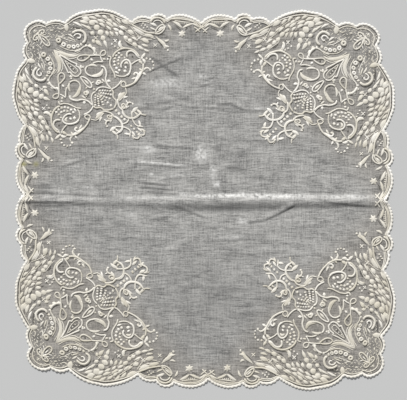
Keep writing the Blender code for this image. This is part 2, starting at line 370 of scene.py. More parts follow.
@dataclass(frozen=True)
class ClothShape:
    """The cloth's outline, how it lies out of true and the height of its folds, in millimetres."""

    width: float = CLOTH_WIDTH
    outline_step: float = 3.4
    fewest_arc_pieces: int = 4
    wander: float = 0.3
    crease_fade: float = 0.22
    crease_end: float = 0.35
    edge_work: float = 198.0
    edge_fade: float = 30.0
    slack: float = 0.15
    shade_reach: float = 1.9

    def arc(self, start: Point, end: Point, rise: float, step: float) -> np.ndarray:
        """Points of a round arc, without its end, that bulges to the right of start to end by rise.

        Args:
            start: where the arc starts.
            end: where it ends.
            rise: how far it bulges from the straight line.
            step: the distance between points.

        Returns:
            The points, one a row.
        """
        first, last = np.array(start), np.array(end)
        chord = np.linalg.norm(last - first)
        forward = (last - first) / chord
        outward = np.array((forward[1], -forward[0]))
        radius = (chord * chord / 4.0 + rise * rise) / (2.0 * rise)
        centre = (first + last) / 2.0 - outward * (radius - rise)
        half_turn = math.asin(min(chord / (2.0 * radius), 1.0))
        pieces = max(self.fewest_arc_pieces, round(2.0 * half_turn * radius / step))
        turn = np.linspace(-half_turn, half_turn, pieces, endpoint=False)[:, None]
        return centre + radius * (np.sin(turn) * forward + np.cos(turn) * outward)

    def true_outline(self, step: float, side: tuple[Scallop, ...] = HALF_SIDE) -> np.ndarray:
        """The scalloped square before it is drawn out of true: one quarter, turned four times.

        Args:
            step: the distance between points.
            side: the scallops of half a side.

        Returns:
            The points anticlockwise, one a row.
        """
        notches = [(row.outward, row.along) for row in side]
        notches += [(row.along, row.outward) for row in reversed(side)]
        rises = [row.rise for row in side] + [row.rise for row in reversed(side[:-1])]
        quarter = np.concatenate(
            [self.arc(notches[i], notches[i + 1], rise, step) for i, rise in enumerate(rises)]
        )
        turned = np.stack((-quarter[:, 1], quarter[:, 0]), axis=1)
        half = np.concatenate((quarter, turned))
        return np.concatenate((half, -half))

    @staticmethod
    def mean_pull(points: np.ndarray, rows: tuple[Pull, ...], reach: float, rest: float) -> np.ndarray:
        """The mean of the pulls at each point: exp(-(distance / reach)^2) weighs them, and rest weighs none.

        Args:
            points: places in the true design, one a row.
            rows: the pulls.
            reach: the distance over which a pull loses its hold.
            rest: the weight of not being pulled at all.

        Returns:
            The pull at each point, one a row.
        """
        places = np.array([(row.x, row.y) for row in rows])
        pulls = np.array([(row.pull_x, row.pull_y) for row in rows])
        distance = np.linalg.norm(points[:, None, :] - places[None, :, :], axis=2)
        weight = np.exp(-((distance / reach) ** 2))
        return (weight @ pulls) / (weight.sum(axis=1, keepdims=True) + rest)

    def pulled(self, points: np.ndarray) -> np.ndarray:
        """Each point moved by the edge's pulls, and inside the edge by those of the corner work too."""
        inside = np.clip((self.edge_work - np.abs(points).max(axis=1)) / self.edge_fade, 0.0, 1.0)[:, None]
        inner = self.mean_pull(points, INNER_PULLS, INNER_REACH, self.slack)
        return points + self.mean_pull(points, PULLS, PULL_REACH, 0.0) + inner * inside

    def laid_out(self, points: np.ndarray) -> np.ndarray:
        """Points of the true design moved to where they lie on the real cloth.

        Args:
            points: places in the true design, one a row.

        Returns:
            The places on the cloth as it lies, centred on the origin.
        """
        edge = self.pulled(self.true_outline(self.outline_step))
        low, high = edge.min(axis=0), edge.max(axis=0)
        scale = self.width / (high[0] - low[0])
        return (self.pulled(points) - (low + high) / 2.0) * scale

    def wandered(self, points: np.ndarray) -> np.ndarray:
        """Points moved a little to and fro by crossed waves, as hand work strays from its drawing."""
        x, y = points[:, 0], points[:, 1]
        stray_x = np.sin(x / 5.1 + 1.7 * np.sin(y / 7.3)) + np.sin(y / 4.3 + x / 23.0)
        stray_y = np.sin(y / 4.7 + 1.9 * np.sin(x / 6.1)) + np.sin(x / 5.7 - y / 19.0)
        return points + self.wander * np.stack((stray_x, stray_y), axis=1)

    @staticmethod
    def fold_height(along: np.ndarray, across: np.ndarray, rows: tuple[FoldStation, ...]) -> np.ndarray:
        """Height of a pressed fold: a squared cosine that falls to nothing on each side of its crest.

        Args:
            along: places along the fold.
            across: places across it.
            rows: the stations along it.

        Returns:
            The height at each place.
        """
        places = [row.along for row in rows]
        crest = np.interp(along, places, [row.crest for row in rows])
        height = np.interp(along, places, [row.height for row in rows])
        before = np.interp(along, places, [row.reach_before for row in rows])
        after = np.interp(along, places, [row.reach_after for row in rows])
        offset = across - crest
        share = np.clip(np.abs(offset) / np.where(offset < 0.0, before, after), 0.0, 1.0)
        return height * np.cos(share * math.pi / 2.0) ** 2

    def crease_bump(self, row: Crease, x: np.ndarray, y: np.ndarray) -> np.ndarray:
        """Height of one crease: a squared cosine across its line that fades at its two ends."""
        length = math.hypot(row.x1 - row.x0, row.y1 - row.y0)
        ux, uy = (row.x1 - row.x0) / length, (row.y1 - row.y0) / length
        up = 1.0 if ux >= 0.0 else -1.0
        along = ((x - row.x0) * ux + (y - row.y0) * uy) / length
        across = ((y - row.y0) * ux - (x - row.x0) * uy) * up
        share = np.clip(np.abs(across) / np.where(across > 0.0, row.above, row.below), 0.0, 1.0)
        nearer_end = np.minimum(along, 1.0 - along)
        inside = np.clip(nearer_end / self.crease_fade + self.crease_end, 0.0, 1.0)
        return row.height * np.cos(share * math.pi / 2.0) ** 2 * np.sin(inside * math.pi / 2.0)

    def crease_height(self, x: np.ndarray, y: np.ndarray) -> np.ndarray:
        """Height of the highest crease at each place."""
        return np.maximum.reduce([self.crease_bump(row, x, y) for row in CREASES])

    def crease_shade(self, x: np.ndarray, y: np.ndarray) -> np.ndarray:
        """Painted shade below the creases: how deep each place lies below the crease just above it, times
        its shade strength, which the lawn paints as a darker line.
        """
        above = y + self.shade_reach
        return np.maximum.reduce(
            [row.shade * (self.crease_bump(row, x, above) - self.crease_bump(row, x, y)) for row in CREASES]
        )

    @staticmethod
    def ripple_height(x: np.ndarray, y: np.ndarray) -> np.ndarray:
        """Height of the long low ripples that run across the plain field: crossed waves, never below 0."""
        calm = np.clip(1.0 - np.hypot(x, y) / 235.0, 0.0, 1.0)
        wave = np.sin(y / 2.9 + 1.3 * np.sin(x / 31.0) + x / 95.0)
        second = np.sin(y / 4.6 + 1.7 * np.sin(x / 47.0 + 1.0) - x / 70.0)
        patchy = 0.5 + 0.5 * np.sin(x / 37.0 + 2.0 * np.sin(y / 41.0))
        fine = np.sin(y / 1.15 + 2.1 * np.sin(x / 19.0 + 0.5 * np.sin(y / 9.0)) + x / 33.0)
        rubbed = np.clip(np.sin(x / 43.0 + 1.2) * np.sin(y / 17.0 + x / 90.0 + 2.0) + 0.25, 0.0, 1.0)
        broad = 0.12 * ((1.0 + wave) * patchy + (1.0 + second) * (1.0 - patchy))
        return calm * (broad + 0.055 * rubbed * (1.0 + fine))

    def height(self, x: np.ndarray, y: np.ndarray) -> np.ndarray:
        """Height of the cloth's underside over the table.

        Args:
            x: places across, on the cloth as it lies.
            y: places up.

        Returns:
            The height of the folds, swells and creases there.
        """
        pressed = np.maximum(self.fold_height(x, y, MAIN_FOLD), self.fold_height(y, x, CROSS_FOLD))
        swollen = np.maximum(pressed, soft_patches(x, y, SWELLS))
        return swollen + self.crease_height(x, y) + self.ripple_height(x, y)


# Kinds of stitch and where its copies go


class Shape(Enum):
    """What a row of stitching makes."""

    CORD = "an even raised line with rounded ends"
    RIM = "an even raised line that closes on itself"
    LENS = "a satin leaf, broadest at its middle"
    DROP = "a satin leaf, broadest near its end"
    LOOP = "a corded teardrop outline"


class Copies(Enum):
    """Where the copies of a motif go, as turns and mirrors of (t, d)."""

    EIGHTHS = "both halves of every corner"
    CORNERS = "once in every corner, across its diagonal"

    def turns(self) -> list[np.ndarray]:
        """The matrices that take (t, d) to the cloth's own x and y."""
        mirrors = [np.diag((sx, sy)).astype(float) for sx in (1, -1) for sy in (1, -1)]
        if self is Copies.CORNERS:
            return mirrors
        swap = np.array(((0.0, 1.0), (1.0, 0.0)))
        return mirrors + [mirror @ swap for mirror in mirrors]


class Stitch(NamedTuple):
    """A row of stitching: its shape, its width and the points that it passes."""

    shape: Shape
    width: float
    points: tuple[Point, ...]


def cord(width: float, *points: Point) -> Stitch:
    """An even raised line."""
    return Stitch(Shape.CORD, width, points)


def rim(width: float, *points: Point) -> Stitch:
    """An even raised line that closes on itself."""
    return Stitch(Shape.RIM, width, points)


def lens(width: float, *points: Point) -> Stitch:
    """A satin leaf, broadest at its middle."""
    return Stitch(Shape.LENS, width, points)


def drop(width: float, *points: Point) -> Stitch:
    """A satin leaf, broadest near its end."""
    return Stitch(Shape.DROP, width, points)


def loop(breadth: float, *points: Point) -> Stitch:
    """A corded teardrop outline from its tip to its round end."""
    return Stitch(Shape.LOOP, breadth, points)


# Half of a dot's run, a knot's arms, and a ring's radius and cord, as shares of the stitch's size
DOT_HALF_RUN = 0.42
KNOT_ARM = 0.7
RING_RADIUS = 0.31
RING_CORD = 0.40

# The width of a knot's thread, and how many points a ring is drawn from
KNOT_THREAD = 1.1
RING_POINTS = 6

# How far apart a chain's line has its points, and where on its share of it a leaf starts, swells and ends
CHAIN_STEP = 0.5
CHAIN_LEAF = (0.06, 0.5, 0.94)

# How many points a smooth path's curve has between two of the points that it passes
CURVE_POINTS = 16


def dots(size: float, *points: Point) -> list[Stitch]:
    """Round satin dots of one size."""
    half = size * DOT_HALF_RUN
    return [lens(size, (t - half, d), (t, d), (t + half, d)) for t, d in points]


def cross(size: float, *points: Point) -> list[Stitch]:
    """Small crossed knots, each of two short stitches."""
    arm = size * KNOT_ARM
    rows = []
    for t, d in points:
        for rise in (arm, -arm):
            rows.append(cord(KNOT_THREAD, (t - arm, d - rise), (t, d), (t + arm, d + rise)))
    return rows


def eyelets(size: float, *points: Point) -> list[Stitch]:
    """Small rings worked round a hole, by their outer size."""
    turn = np.arange(RING_POINTS) * 2.0 * math.pi / RING_POINTS
    radius = size * RING_RADIUS
    rings = []
    for t, d in points:
        ring = [(t + radius * math.cos(a), d + radius * math.sin(a)) for a in turn]
        rings.append(rim(size * RING_CORD, *ring))
    return rings


def chain(width: float, pitch: float, *points: Point) -> list[Stitch]:
    """A string of satin leaves laid end to end along a smooth line, with a small gap between them."""
    path = smooth_path(points, False, CHAIN_STEP)
    count = max(1, round(len(path) * CHAIN_STEP / pitch))
    ends = np.linspace(0, len(path) - 1, count + 1)
    leaves = []
    for first, last in zip(ends[:-1], ends[1:]):
        places = first + (last - first) * np.array(CHAIN_LEAF)
        row = path[np.round(places).astype(int)]
        leaves.append(drop(width, *map(tuple, row)))
    return leaves


def plump(row: Stitch, shorter: float = 0.2, wider: float = 1.16) -> Stitch:
    """A satin leaf drawn in at both ends and made broader, so that a row of them shows its gaps."""
    if row.shape is not Shape.LENS or len(row.points) != 3:
        return row
    (t0, d0), (t1, d1), (t2, d2) = row.points
    near = (t0 + (t1 - t0) * shorter, d0 + (d1 - d0) * shorter)
    far = (t2 + (t1 - t2) * shorter, d2 + (d1 - d2) * shorter)
    return lens(row.width * wider, near, (t1, d1), far)


def run_along(path: np.ndarray) -> np.ndarray:
    """How far along a path each of its points lies."""
    return np.concatenate(([0.0], np.cumsum(np.linalg.norm(np.diff(path, axis=0), axis=1))))


def points_at(path: np.ndarray, distances: np.ndarray) -> np.ndarray:
    """The places on a path at some distances along it, one a row."""
    run = run_along(path)
    return np.stack([np.interp(distances, run, path[:, axis]) for axis in (0, 1)], axis=1)


def left_of(forward: np.ndarray) -> np.ndarray:
    """The unit vector to the left of each direction."""
    forward = forward / np.maximum(np.linalg.norm(forward, axis=1, keepdims=True), 1e-9)
    return np.stack((-forward[:, 1], forward[:, 0]), axis=1)


def smooth_path(points: tuple[Point, ...], closed: bool, step: float) -> np.ndarray:
    """A smooth curve through the points, a cubic whose slope at each point is that of its neighbours.

    Args:
        points: the points that it passes.
        closed: whether it runs on from the last point to the first.
        step: the distance between its points.

    Returns:
        Evenly spaced points, one a row; a closed path doesn't repeat its first.
    """
    place = np.array(points, dtype=float)
    if closed:
        before, after = np.roll(place, 1, axis=0), np.roll(place, -1, axis=0)
        beyond = np.roll(place, -2, axis=0)
    else:
        ends = np.concatenate((2.0 * place[:1] - place[1:2], place, 2.0 * place[-1:] - place[-2:-1]))
        before, place, after, beyond = ends[:-3], ends[1:-2], ends[2:-1], ends[3:]
    s = (np.arange(CURVE_POINTS) / CURVE_POINTS)[None, :, None]
    curve = 0.5 * (
        2.0 * place[:, None]
        + (after - before)[:, None] * s
        + (2.0 * before - 5.0 * place + 4.0 * after - beyond)[:, None] * s ** 2
        + (3.0 * place - before - 3.0 * after + beyond)[:, None] * s ** 3
    ).reshape(-1, 2)
    curve = np.concatenate((curve, curve[:1] if closed else after[-1:]))
    length = run_along(curve)[-1]
    even = np.linspace(0.0, length, max(4, math.ceil(length / step)) + 1)
    return points_at(curve, even[:-1] if closed else even)


# Embroidery of one eighth of the cloth

PALMETTE = [
    loop(5.2, (183.8, 184.0), (176.8, 188.6)),
    lens(1.5, (181.4, 185.2), (178.4, 187.2)),
    lens(1.6, (186.6, 185.8), (188.2, 189.6)),
    cord(1.2, (184.6, 184.0), (180.0, 181.6), (175.4, 180.8), (171.6, 181.6)),
    lens(1.5, (180.2, 183.4), (174.8, 183.8)),
    lens(1.6, (170.4, 188.4), (166.0, 189.6)),
]
PALMETTE_MIDDLE = [
    loop(7.6, (183.2, 183.2), (172.0, 172.0)),
    lens(1.7, (180.2, 180.2), (175.6, 175.6)),
    *dots(3.0, (184.6, 184.6)),
]
LILY = [
    lens(4.4, (166.8, 166.0), (161.0, 163.6), (154.6, 161.2), (147.6, 160.2), (141.4, 161.2),
         (137.4, 163.6)),
    cord(1.1, (163.8, 163.6), (157.6, 159.8), (151.0, 157.4), (145.4, 157.2), (140.0, 159.4)),
    cord(0.9, (164.0, 167.8), (157.0, 164.2), (149.6, 162.2), (142.8, 163.2), (136.4, 167.0)),
    cord(1.7, (160.0, 160.4), (153.4, 156.8), (146.6, 153.6), (140.4, 150.8), (141.2, 148.8),
         (138.8, 147.0), (136.9, 144.6), (136.2, 141.6), (137.0, 139.2), (138.4, 138.4)),
    cord(1.0, (153.8, 154.0), (148.8, 151.2), (144.2, 148.2), (140.8, 145.0), (139.8, 142.4),
         (140.8, 141.0)),
    cord(1.2, (160.0, 171.0), (152.0, 167.4), (144.0, 166.6), (137.0, 169.4)),
]
LILY_MIDDLE = [
    *dots(2.0, (150.2, 150.2), (147.4, 147.4), (144.6, 144.6)),
    loop(7.4, (136.0, 136.0), (124.0, 124.0)),
    drop(2.7, (132.6, 132.6), (126.6, 126.6)),
    *dots(2.8, (121.2, 122.0)),
]
EYELET_ROW = [
    *eyelets(6.6, (160.8, 177.6)),
    *eyelets(5.6, (155.4, 172.8)),
    *eyelets(5.2, (149.8, 170.6)),
    *eyelets(5.0, (144.5, 170.6)),
    *eyelets(4.6, (139.8, 172.0)),
    *dots(3.8, (135.8, 174.0)),
    cord(2.6, (120.8, 162.8), (121.4, 166.8), (124.4, 170.6), (128.4, 172.6)),
    cord(1.5, (128.4, 172.8), (133.4, 171.2), (138.0, 167.6), (143.6, 165.4)),
    *dots(5.2, (120.6, 163.4), (121.4, 168.6), (125.6, 172.4)),
    *dots(3.4, (130.0, 173.0)),
    lens(1.5, (163.6, 183.6), (158.0, 182.0), (153.4, 183.2)),
    lens(1.4, (162.6, 191.6), (158.4, 190.4), (154.8, 191.8)),
    cord(0.9, (158.6, 181.4), (151.0, 178.0), (143.6, 176.4)),
]
SNAIL = [
    cord(2.8, (145.4, 185.8), (141.6, 189.0), (136.6, 189.6), (132.4, 187.0), (130.4, 182.6),
         (131.0, 178.2), (134.0, 175.8)),
    cord(1.7, (144.0, 182.6), (141.0, 185.6), (137.6, 185.6), (135.8, 183.2), (137.2, 180.8),
         (139.8, 181.4)),
    lens(2.2, (151.0, 184.8), (147.4, 183.4), (143.6, 180.6)),
    lens(1.8, (150.4, 181.0), (146.4, 179.2), (142.0, 178.0)),
    lens(2.8, (145.0, 198.8), (140.0, 197.2), (134.6, 194.4)),
    lens(2.4, (136.6, 197.6), (131.6, 194.8), (127.0, 190.8)),
]
BOW = [
    rim(1.7, (126.6, 160.4), (132.0, 161.4), (137.2, 160.8), (139.4, 158.0), (137.4, 155.2),
        (133.6, 154.6), (129.6, 156.8)),
    cord(1.7, (127.4, 160.8), (120.6, 161.2), (114.0, 161.5)),
    rim(1.5, (114.6, 161.9), (114.2, 165.2), (111.8, 167.6), (109.2, 167.0), (108.9, 164.0),
        (111.4, 162.0)),
    cord(1.5, (114.8, 160.8), (113.2, 157.6), (110.6, 153.9)),
    cord(1.6, (122.8, 152.4), (117.4, 154.0), (110.8, 154.2)),
    lens(2.4, (112.0, 158.0), (107.6, 157.8)),
    *dots(3.0, (105.9, 158.2)),
    lens(3.0, (128.8, 148.8), (123.0, 150.4), (116.8, 149.0)),
    lens(2.6, (125.6, 157.4), (122.6, 155.0)),
    *dots(2.6, (133.8, 147.4), (146.6, 135.9)),
    *dots(3.4, (136.2, 148.0)),
]
BASIN = [
    cord(1.8, (128.6, 149.4), (131.0, 145.8), (131.0, 141.6), (128.2, 138.2), (123.0, 136.6),
         (117.4, 137.4)),
    lens(4.6, (125.0, 137.2), (117.4, 138.8), (112.6, 142.4), (110.8, 147.0)),
    cord(2.0, (113.4, 149.4), (109.8, 148.4), (107.8, 145.0), (107.2, 140.2), (108.6, 135.4),
         (107.4, 130.2), (104.8, 126.4), (101.8, 123.6)),
    *eyelets(5.6, (116.2, 130.8)),
    *eyelets(4.4, (129.0, 117.6)),
    lens(2.2, (113.4, 135.6), (109.4, 130.8)),
    lens(1.8, (121.4, 130.6), (124.4, 128.4)),
    *dots(2.4, (117.6, 122.4), (130.6, 112.8)),
    lens(3.4, (107.6, 133.0), (102.6, 132.6)),
]
MEDALLION = [
    cord(2.2, (100.4, 160.0), (98.8, 163.8), (95.2, 167.0), (90.6, 169.2), (85.6, 170.0), (80.6, 169.6),
         (76.0, 168.2), (72.2, 165.2), (69.4, 161.8)),
    cord(2.3, (84.4, 159.4), (84.8, 163.4), (82.8, 166.4), (78.8, 167.4), (75.0, 165.6), (71.8, 161.6)),
    cord(1.7, (106.0, 161.8), (102.4, 160.4), (103.4, 155.6), (103.0, 150.0), (100.6, 145.0),
         (98.4, 140.8), (97.6, 135.8)),
    *chain(3.3, 3.9, (92.0, 165.8), (96.6, 162.2), (98.8, 157.0), (98.4, 151.2), (95.4, 146.8),
           (91.4, 144.6)),
    *chain(2.8, 3.6, (89.4, 163.0), (93.2, 160.0), (94.8, 155.4), (93.8, 150.8)),
    drop(4.0, (87.0, 169.4), (90.6, 172.0), (92.2, 176.0), (92.4, 179.4)),
    *dots(2.6, (87.4, 159.4)),
    *dots(2.5, (100.8, 174.8), (97.3, 172.6), (93.8, 170.8)),
    cord(2.1, (90.4, 147.6), (91.0, 151.6), (89.0, 155.4), (85.4, 157.2), (81.8, 155.6), (79.8, 151.4),
         (79.8, 146.4), (81.4, 142.2), (84.8, 139.2)),
    lens(3.0, (88.0, 152.6), (84.8, 154.2), (82.2, 152.0)),
    lens(2.6, (86.6, 150.2), (84.2, 147.4)),
    lens(3.8, (88.2, 144.8), (84.0, 144.4)),
    cord(1.5, (97.0, 140.0), (92.4, 138.2), (87.0, 138.4), (82.4, 141.6)),
    lens(2.4, (98.4, 144.0), (93.2, 141.6)),
    cord(1.5, (79.8, 151.8), (76.0, 154.8), (72.0, 157.6), (68.2, 159.6)),
    lens(3.4, (71.8, 158.8), (69.2, 156.2), (67.2, 153.2)),
    lens(3.2, (67.4, 160.4), (64.8, 157.4), (64.6, 153.8)),
    lens(3.0, (67.8, 161.0), (65.0, 163.6), (62.8, 166.6)),
    lens(3.0, (68.6, 160.6), (72.0, 162.8), (73.4, 166.2)),
    *dots(3.0, (66.9, 160.6), (61.9, 160.2), (58.0, 159.0), (55.0, 156.0)),
    *dots(2.5, (54.0, 152.4), (54.6, 148.8)),
    cord(2.1, (66.2, 154.4), (66.2, 148.0), (68.2, 141.8), (72.6, 135.4), (79.0, 130.2), (86.6, 126.8)),
    lens(4.2, (67.6, 147.0), (70.4, 139.6), (76.4, 132.6)),
    lens(2.6, (67.4, 142.4), (65.2, 147.2), (61.4, 149.2), (57.8, 147.6)),
    rim(1.5, (88.8, 132.4), (91.1, 129.6), (89.8, 126.6), (86.8, 126.8), (86.0, 130.0)),
    cord(1.7, (90.6, 133.4), (93.6, 128.6), (97.6, 124.6), (101.6, 122.8)),
    *dots(3.8, (75.2, 142.2)),
    cord(2.0, (75.4, 143.4), (72.8, 143.4), (71.2, 140.8), (71.4, 137.4)),
    lens(2.4, (79.6, 136.0), (76.2, 137.2), (73.6, 139.2)),
    lens(2.6, (70.6, 148.4), (68.2, 146.6), (66.4, 144.2)),
    lens(2.4, (67.2, 143.4), (64.6, 142.6), (62.4, 140.8)),
    *dots(3.4, (57.6, 146.8)),
]
FAN = [
    cord(1.9, (101.4, 122.6), (99.2, 119.0), (99.8, 115.6), (99.4, 112.6), (97.2, 110.0), (97.2, 106.0),
         (98.4, 102.6), (99.6, 99.8)),
    cord(1.6, (119.6, 119.8), (116.4, 123.6), (110.8, 125.2), (105.6, 124.2), (101.2, 122.8)),
    *chain(2.7, 3.1, (116.6, 120.4), (109.0, 120.8), (101.4, 120.3)),
    *chain(2.9, 3.2, (115.4, 118.0), (108.0, 117.0), (100.8, 115.8)),
    *chain(2.7, 3.1, (114.6, 115.6), (108.6, 112.8), (102.6, 111.0)),
]
FAN_MIDDLE = [
    cord(1.4, (117.6, 117.6), (112.8, 112.8)),
    *dots(2.4, (111.6, 111.6), (109.1, 109.1)),
    *dots(2.9, (106.3, 106.6)),
    *dots(3.5, (102.9, 103.4)),
    *dots(3.9, (96.8, 97.3), (93.5, 94.1), (90.5, 91.1), (87.2, 88.3)),
    *dots(2.2, (84.6, 85.0)),
]
CURLS = [
    lens(4.8, (95.4, 110.0), (91.6, 115.0), (86.6, 121.0)),
    lens(3.2, (93.8, 113.4), (92.4, 116.6), (91.2, 119.8)),
    cord(1.3, (93.6, 109.8), (89.0, 114.6), (85.0, 120.0), (86.2, 126.0)),
    lens(2.6, (89.4, 113.0), (86.4, 115.0), (83.0, 116.2)),
    cord(1.9, (95.4, 112.0), (95.0, 106.2), (93.4, 101.8), (90.2, 99.2), (88.2, 95.2), (84.4, 91.7),
         (79.4, 90.4), (74.6, 91.4), (71.0, 94.4), (68.4, 97.6)),
    rim(1.8, (90.8, 103.8), (89.8, 106.2), (87.4, 106.2), (86.1, 103.8), (87.4, 101.4), (89.8, 101.4)),
    lens(3.4, (88.4, 100.6), (84.8, 103.2), (81.6, 104.6)),
    cord(2.2, (84.4, 103.8), (83.8, 107.4), (81.2, 109.2), (78.4, 108.6)),
    cord(1.6, (85.4, 111.2), (84.0, 109.0), (82.4, 108.6)),
    *dots(3.2, (77.6, 107.8)),
    lens(3.0, (105.2, 88.0), (101.8, 90.2), (99.2, 92.8)),
]
CROWN = [
    lens(4.2, (78.2, 96.6), (75.6, 100.6), (72.0, 104.2)),
    lens(3.2, (73.8, 102.0), (70.4, 98.6), (67.0, 95.8)),
    cord(1.5, (69.0, 96.4), (66.0, 95.6), (62.4, 95.6)),
    cord(1.8, (78.6, 98.6), (78.4, 93.6), (77.8, 88.4), (75.8, 84.0), (72.8, 81.4), (69.6, 81.2)),
    lens(2.2, (76.0, 97.8), (73.2, 95.6), (72.2, 93.0)),
    lens(3.0, (70.4, 88.4), (69.4, 84.6), (68.6, 80.8)),
    lens(2.2, (73.4, 80.6), (69.4, 81.4), (65.0, 81.2)),
    lens(2.4, (69.4, 78.6), (66.0, 77.6), (62.6, 76.4)),
    lens(3.0, (73.2, 79.8), (70.0, 77.2), (66.8, 74.8)),
    cord(1.8, (68.4, 78.6), (65.2, 76.4), (65.0, 72.4), (68.6, 70.7), (73.4, 70.8)),
    cord(1.8, (100.2, 89.8), (95.2, 89.2), (91.4, 85.6), (89.9, 80.6), (90.2, 75.6), (92.6, 71.8),
         (96.4, 69.8)),
    cord(1.6, (82.6, 88.6), (84.8, 84.6), (88.6, 82.6), (91.4, 83.6)),
]
CROWN_MIDDLE = [
    *dots(3.4, (80.2, 80.2), (76.9, 76.9), (73.5, 73.5)),
    lens(2.6, (72.4, 72.4), (70.0, 70.0), (67.4, 67.4)),
]
BIG_SCALLOP = [
    lens(3.0, (129.0, 206.0), (122.4, 204.8), (117.0, 202.2)),
    lens(3.2, (118.6, 203.4), (112.8, 200.6), (107.2, 197.8)),
    lens(3.2, (108.6, 199.8), (103.8, 197.2), (99.4, 193.4)),
    lens(3.4, (100.8, 193.8), (96.8, 191.4), (92.6, 189.8)),
    lens(4.4, (94.8, 190.8), (91.2, 187.6), (87.8, 184.4)),
    lens(4.2, (89.2, 185.2), (86.0, 182.2), (82.6, 179.8)),
    lens(3.8, (84.2, 181.8), (81.0, 179.0), (77.8, 176.6)),
    lens(3.8, (79.0, 177.4), (75.2, 174.8), (71.2, 172.8)),
    lens(3.0, (72.8, 174.4), (68.6, 171.8), (63.6, 169.6)),
    lens(2.2, (65.6, 171.2), (61.6, 169.2), (57.2, 168.4)),
    lens(2.8, (122.6, 208.4), (117.0, 206.6), (112.6, 204.0)),
    lens(3.0, (113.0, 207.2), (108.6, 204.8), (105.0, 201.6)),
    lens(3.4, (107.0, 203.4), (103.2, 200.8), (99.8, 197.4)),
    lens(2.8, (104.6, 208.2), (100.4, 205.4), (97.2, 201.6)),
    lens(3.2, (101.0, 200.2), (97.4, 196.8), (93.8, 194.4)),
    lens(2.8, (97.6, 205.2), (93.6, 202.0), (90.6, 197.6)),
    lens(2.6, (94.4, 196.8), (90.2, 193.4), (86.8, 190.0)),
    lens(4.8, (91.8, 203.4), (86.0, 200.4), (80.0, 196.2)),
    lens(2.2, (90.0, 196.6), (87.0, 193.4), (83.0, 190.6)),
    lens(3.4, (138.6, 200.8), (132.6, 199.8), (126.6, 197.6)),
    lens(3.0, (136.6, 205.2), (130.0, 203.6), (124.4, 201.2)),
    lens(3.2, (125.4, 202.2), (120.0, 200.2), (115.0, 197.2)),
    lens(3.0, (116.4, 199.0), (112.0, 196.6), (108.2, 193.0)),
    drop(5.8, (151.0, 199.6), (152.6, 195.0), (151.4, 187.6)),
    lens(6.2, (134.6, 205.4), (130.4, 203.2), (126.4, 200.2)),
    lens(6.6, (127.6, 201.8), (123.8, 198.8), (120.4, 195.0)),
    lens(6.8, (121.4, 196.6), (118.4, 193.0), (115.8, 189.0)),
    lens(7.0, (117.0, 191.0), (114.2, 187.2), (112.2, 183.0)),
    lens(5.6, (113.4, 184.6), (111.2, 181.0), (109.6, 176.8)),
    lens(2.6, (108.4, 195.8), (104.6, 193.0), (101.6, 189.6)),
    lens(2.8, (131.6, 195.8), (127.6, 192.6), (124.2, 189.0)),
    lens(3.0, (104.4, 190.6), (101.4, 186.8), (99.4, 182.6)),
    lens(2.6, (98.8, 190.0), (96.0, 186.6), (95.0, 182.6)),
    cord(0.8, (137.4, 207.8), (128.0, 208.4), (117.0, 209.0), (107.0, 208.8), (98.4, 206.4)),
    cord(0.9, (101.0, 203.8), (95.0, 199.6), (89.8, 195.2), (85.4, 189.8), (80.0, 185.6), (74.0, 182.0)),
    cord(0.8, (111.6, 202.8), (104.6, 198.8), (98.4, 195.0)),
    cord(0.9, (79.6, 195.2), (76.2, 190.2), (71.6, 185.0), (66.0, 181.4)),
    cord(0.8, (88.2, 181.2), (84.0, 177.6), (78.2, 174.4), (72.6, 170.6)),
    lens(4.2, (84.4, 191.0), (79.6, 188.4), (75.4, 185.2)),
    lens(4.4, (69.4, 182.2), (64.0, 180.4), (58.0, 177.0)),
    lens(2.4, (80.8, 183.6), (75.6, 181.0), (70.8, 178.2)),
    lens(2.4, (68.6, 176.4), (63.4, 174.4), (58.4, 173.8)),
    drop(4.0, (106.8, 170.4), (108.4, 174.6), (110.2, 179.0)),
    lens(3.6, (108.8, 190.4), (106.6, 187.0), (105.8, 183.0)),
    drop(4.6, (112.4, 172.0), (115.6, 175.2), (119.6, 178.6)),
    lens(4.0, (126.4, 188.8), (123.6, 186.8), (120.8, 184.2)),
    lens(3.2, (123.6, 180.6), (121.6, 177.6), (120.8, 174.0)),
    cord(1.4, (91.2, 179.4), (91.4, 175.0), (89.4, 171.8), (86.0, 170.2)),
]
CROSSES = [
    *cross(3.4, (70.4, 182.4), (119.4, 181.2)),
    *cross(3.0, (52.2, 175.4), (97.2, 178.6)),
]
SMALL_SCALLOP = [
    cord(1.9, (78.4, 197.6), (74.0, 195.0), (69.6, 192.8), (64.6, 190.6), (58.6, 189.2), (52.0, 188.5)),
    cord(1.3, (77.0, 198.0), (73.0, 199.8), (68.0, 201.0), (63.0, 201.2), (58.6, 200.8)),
    *dots(2.5, (66.0, 199.0), (63.6, 197.4), (61.2, 195.8)),
    *dots(2.0, (67.8, 196.4), (65.2, 194.4)),
    lens(2.2, (57.8, 195.8), (54.0, 193.6), (50.2, 192.0)),
    lens(3.2, (58.4, 201.0), (53.6, 199.0), (49.4, 196.6)),
    lens(5.0, (77.6, 195.0), (71.0, 190.8), (63.6, 187.8)),
    lens(4.6, (65.0, 188.0), (59.6, 186.2), (53.6, 184.4)),
    cord(1.0, (76.0, 191.0), (68.6, 187.2), (60.0, 184.6), (52.0, 182.6)),
    cord(0.9, (67.0, 182.6), (61.6, 181.4), (55.6, 181.8)),
]
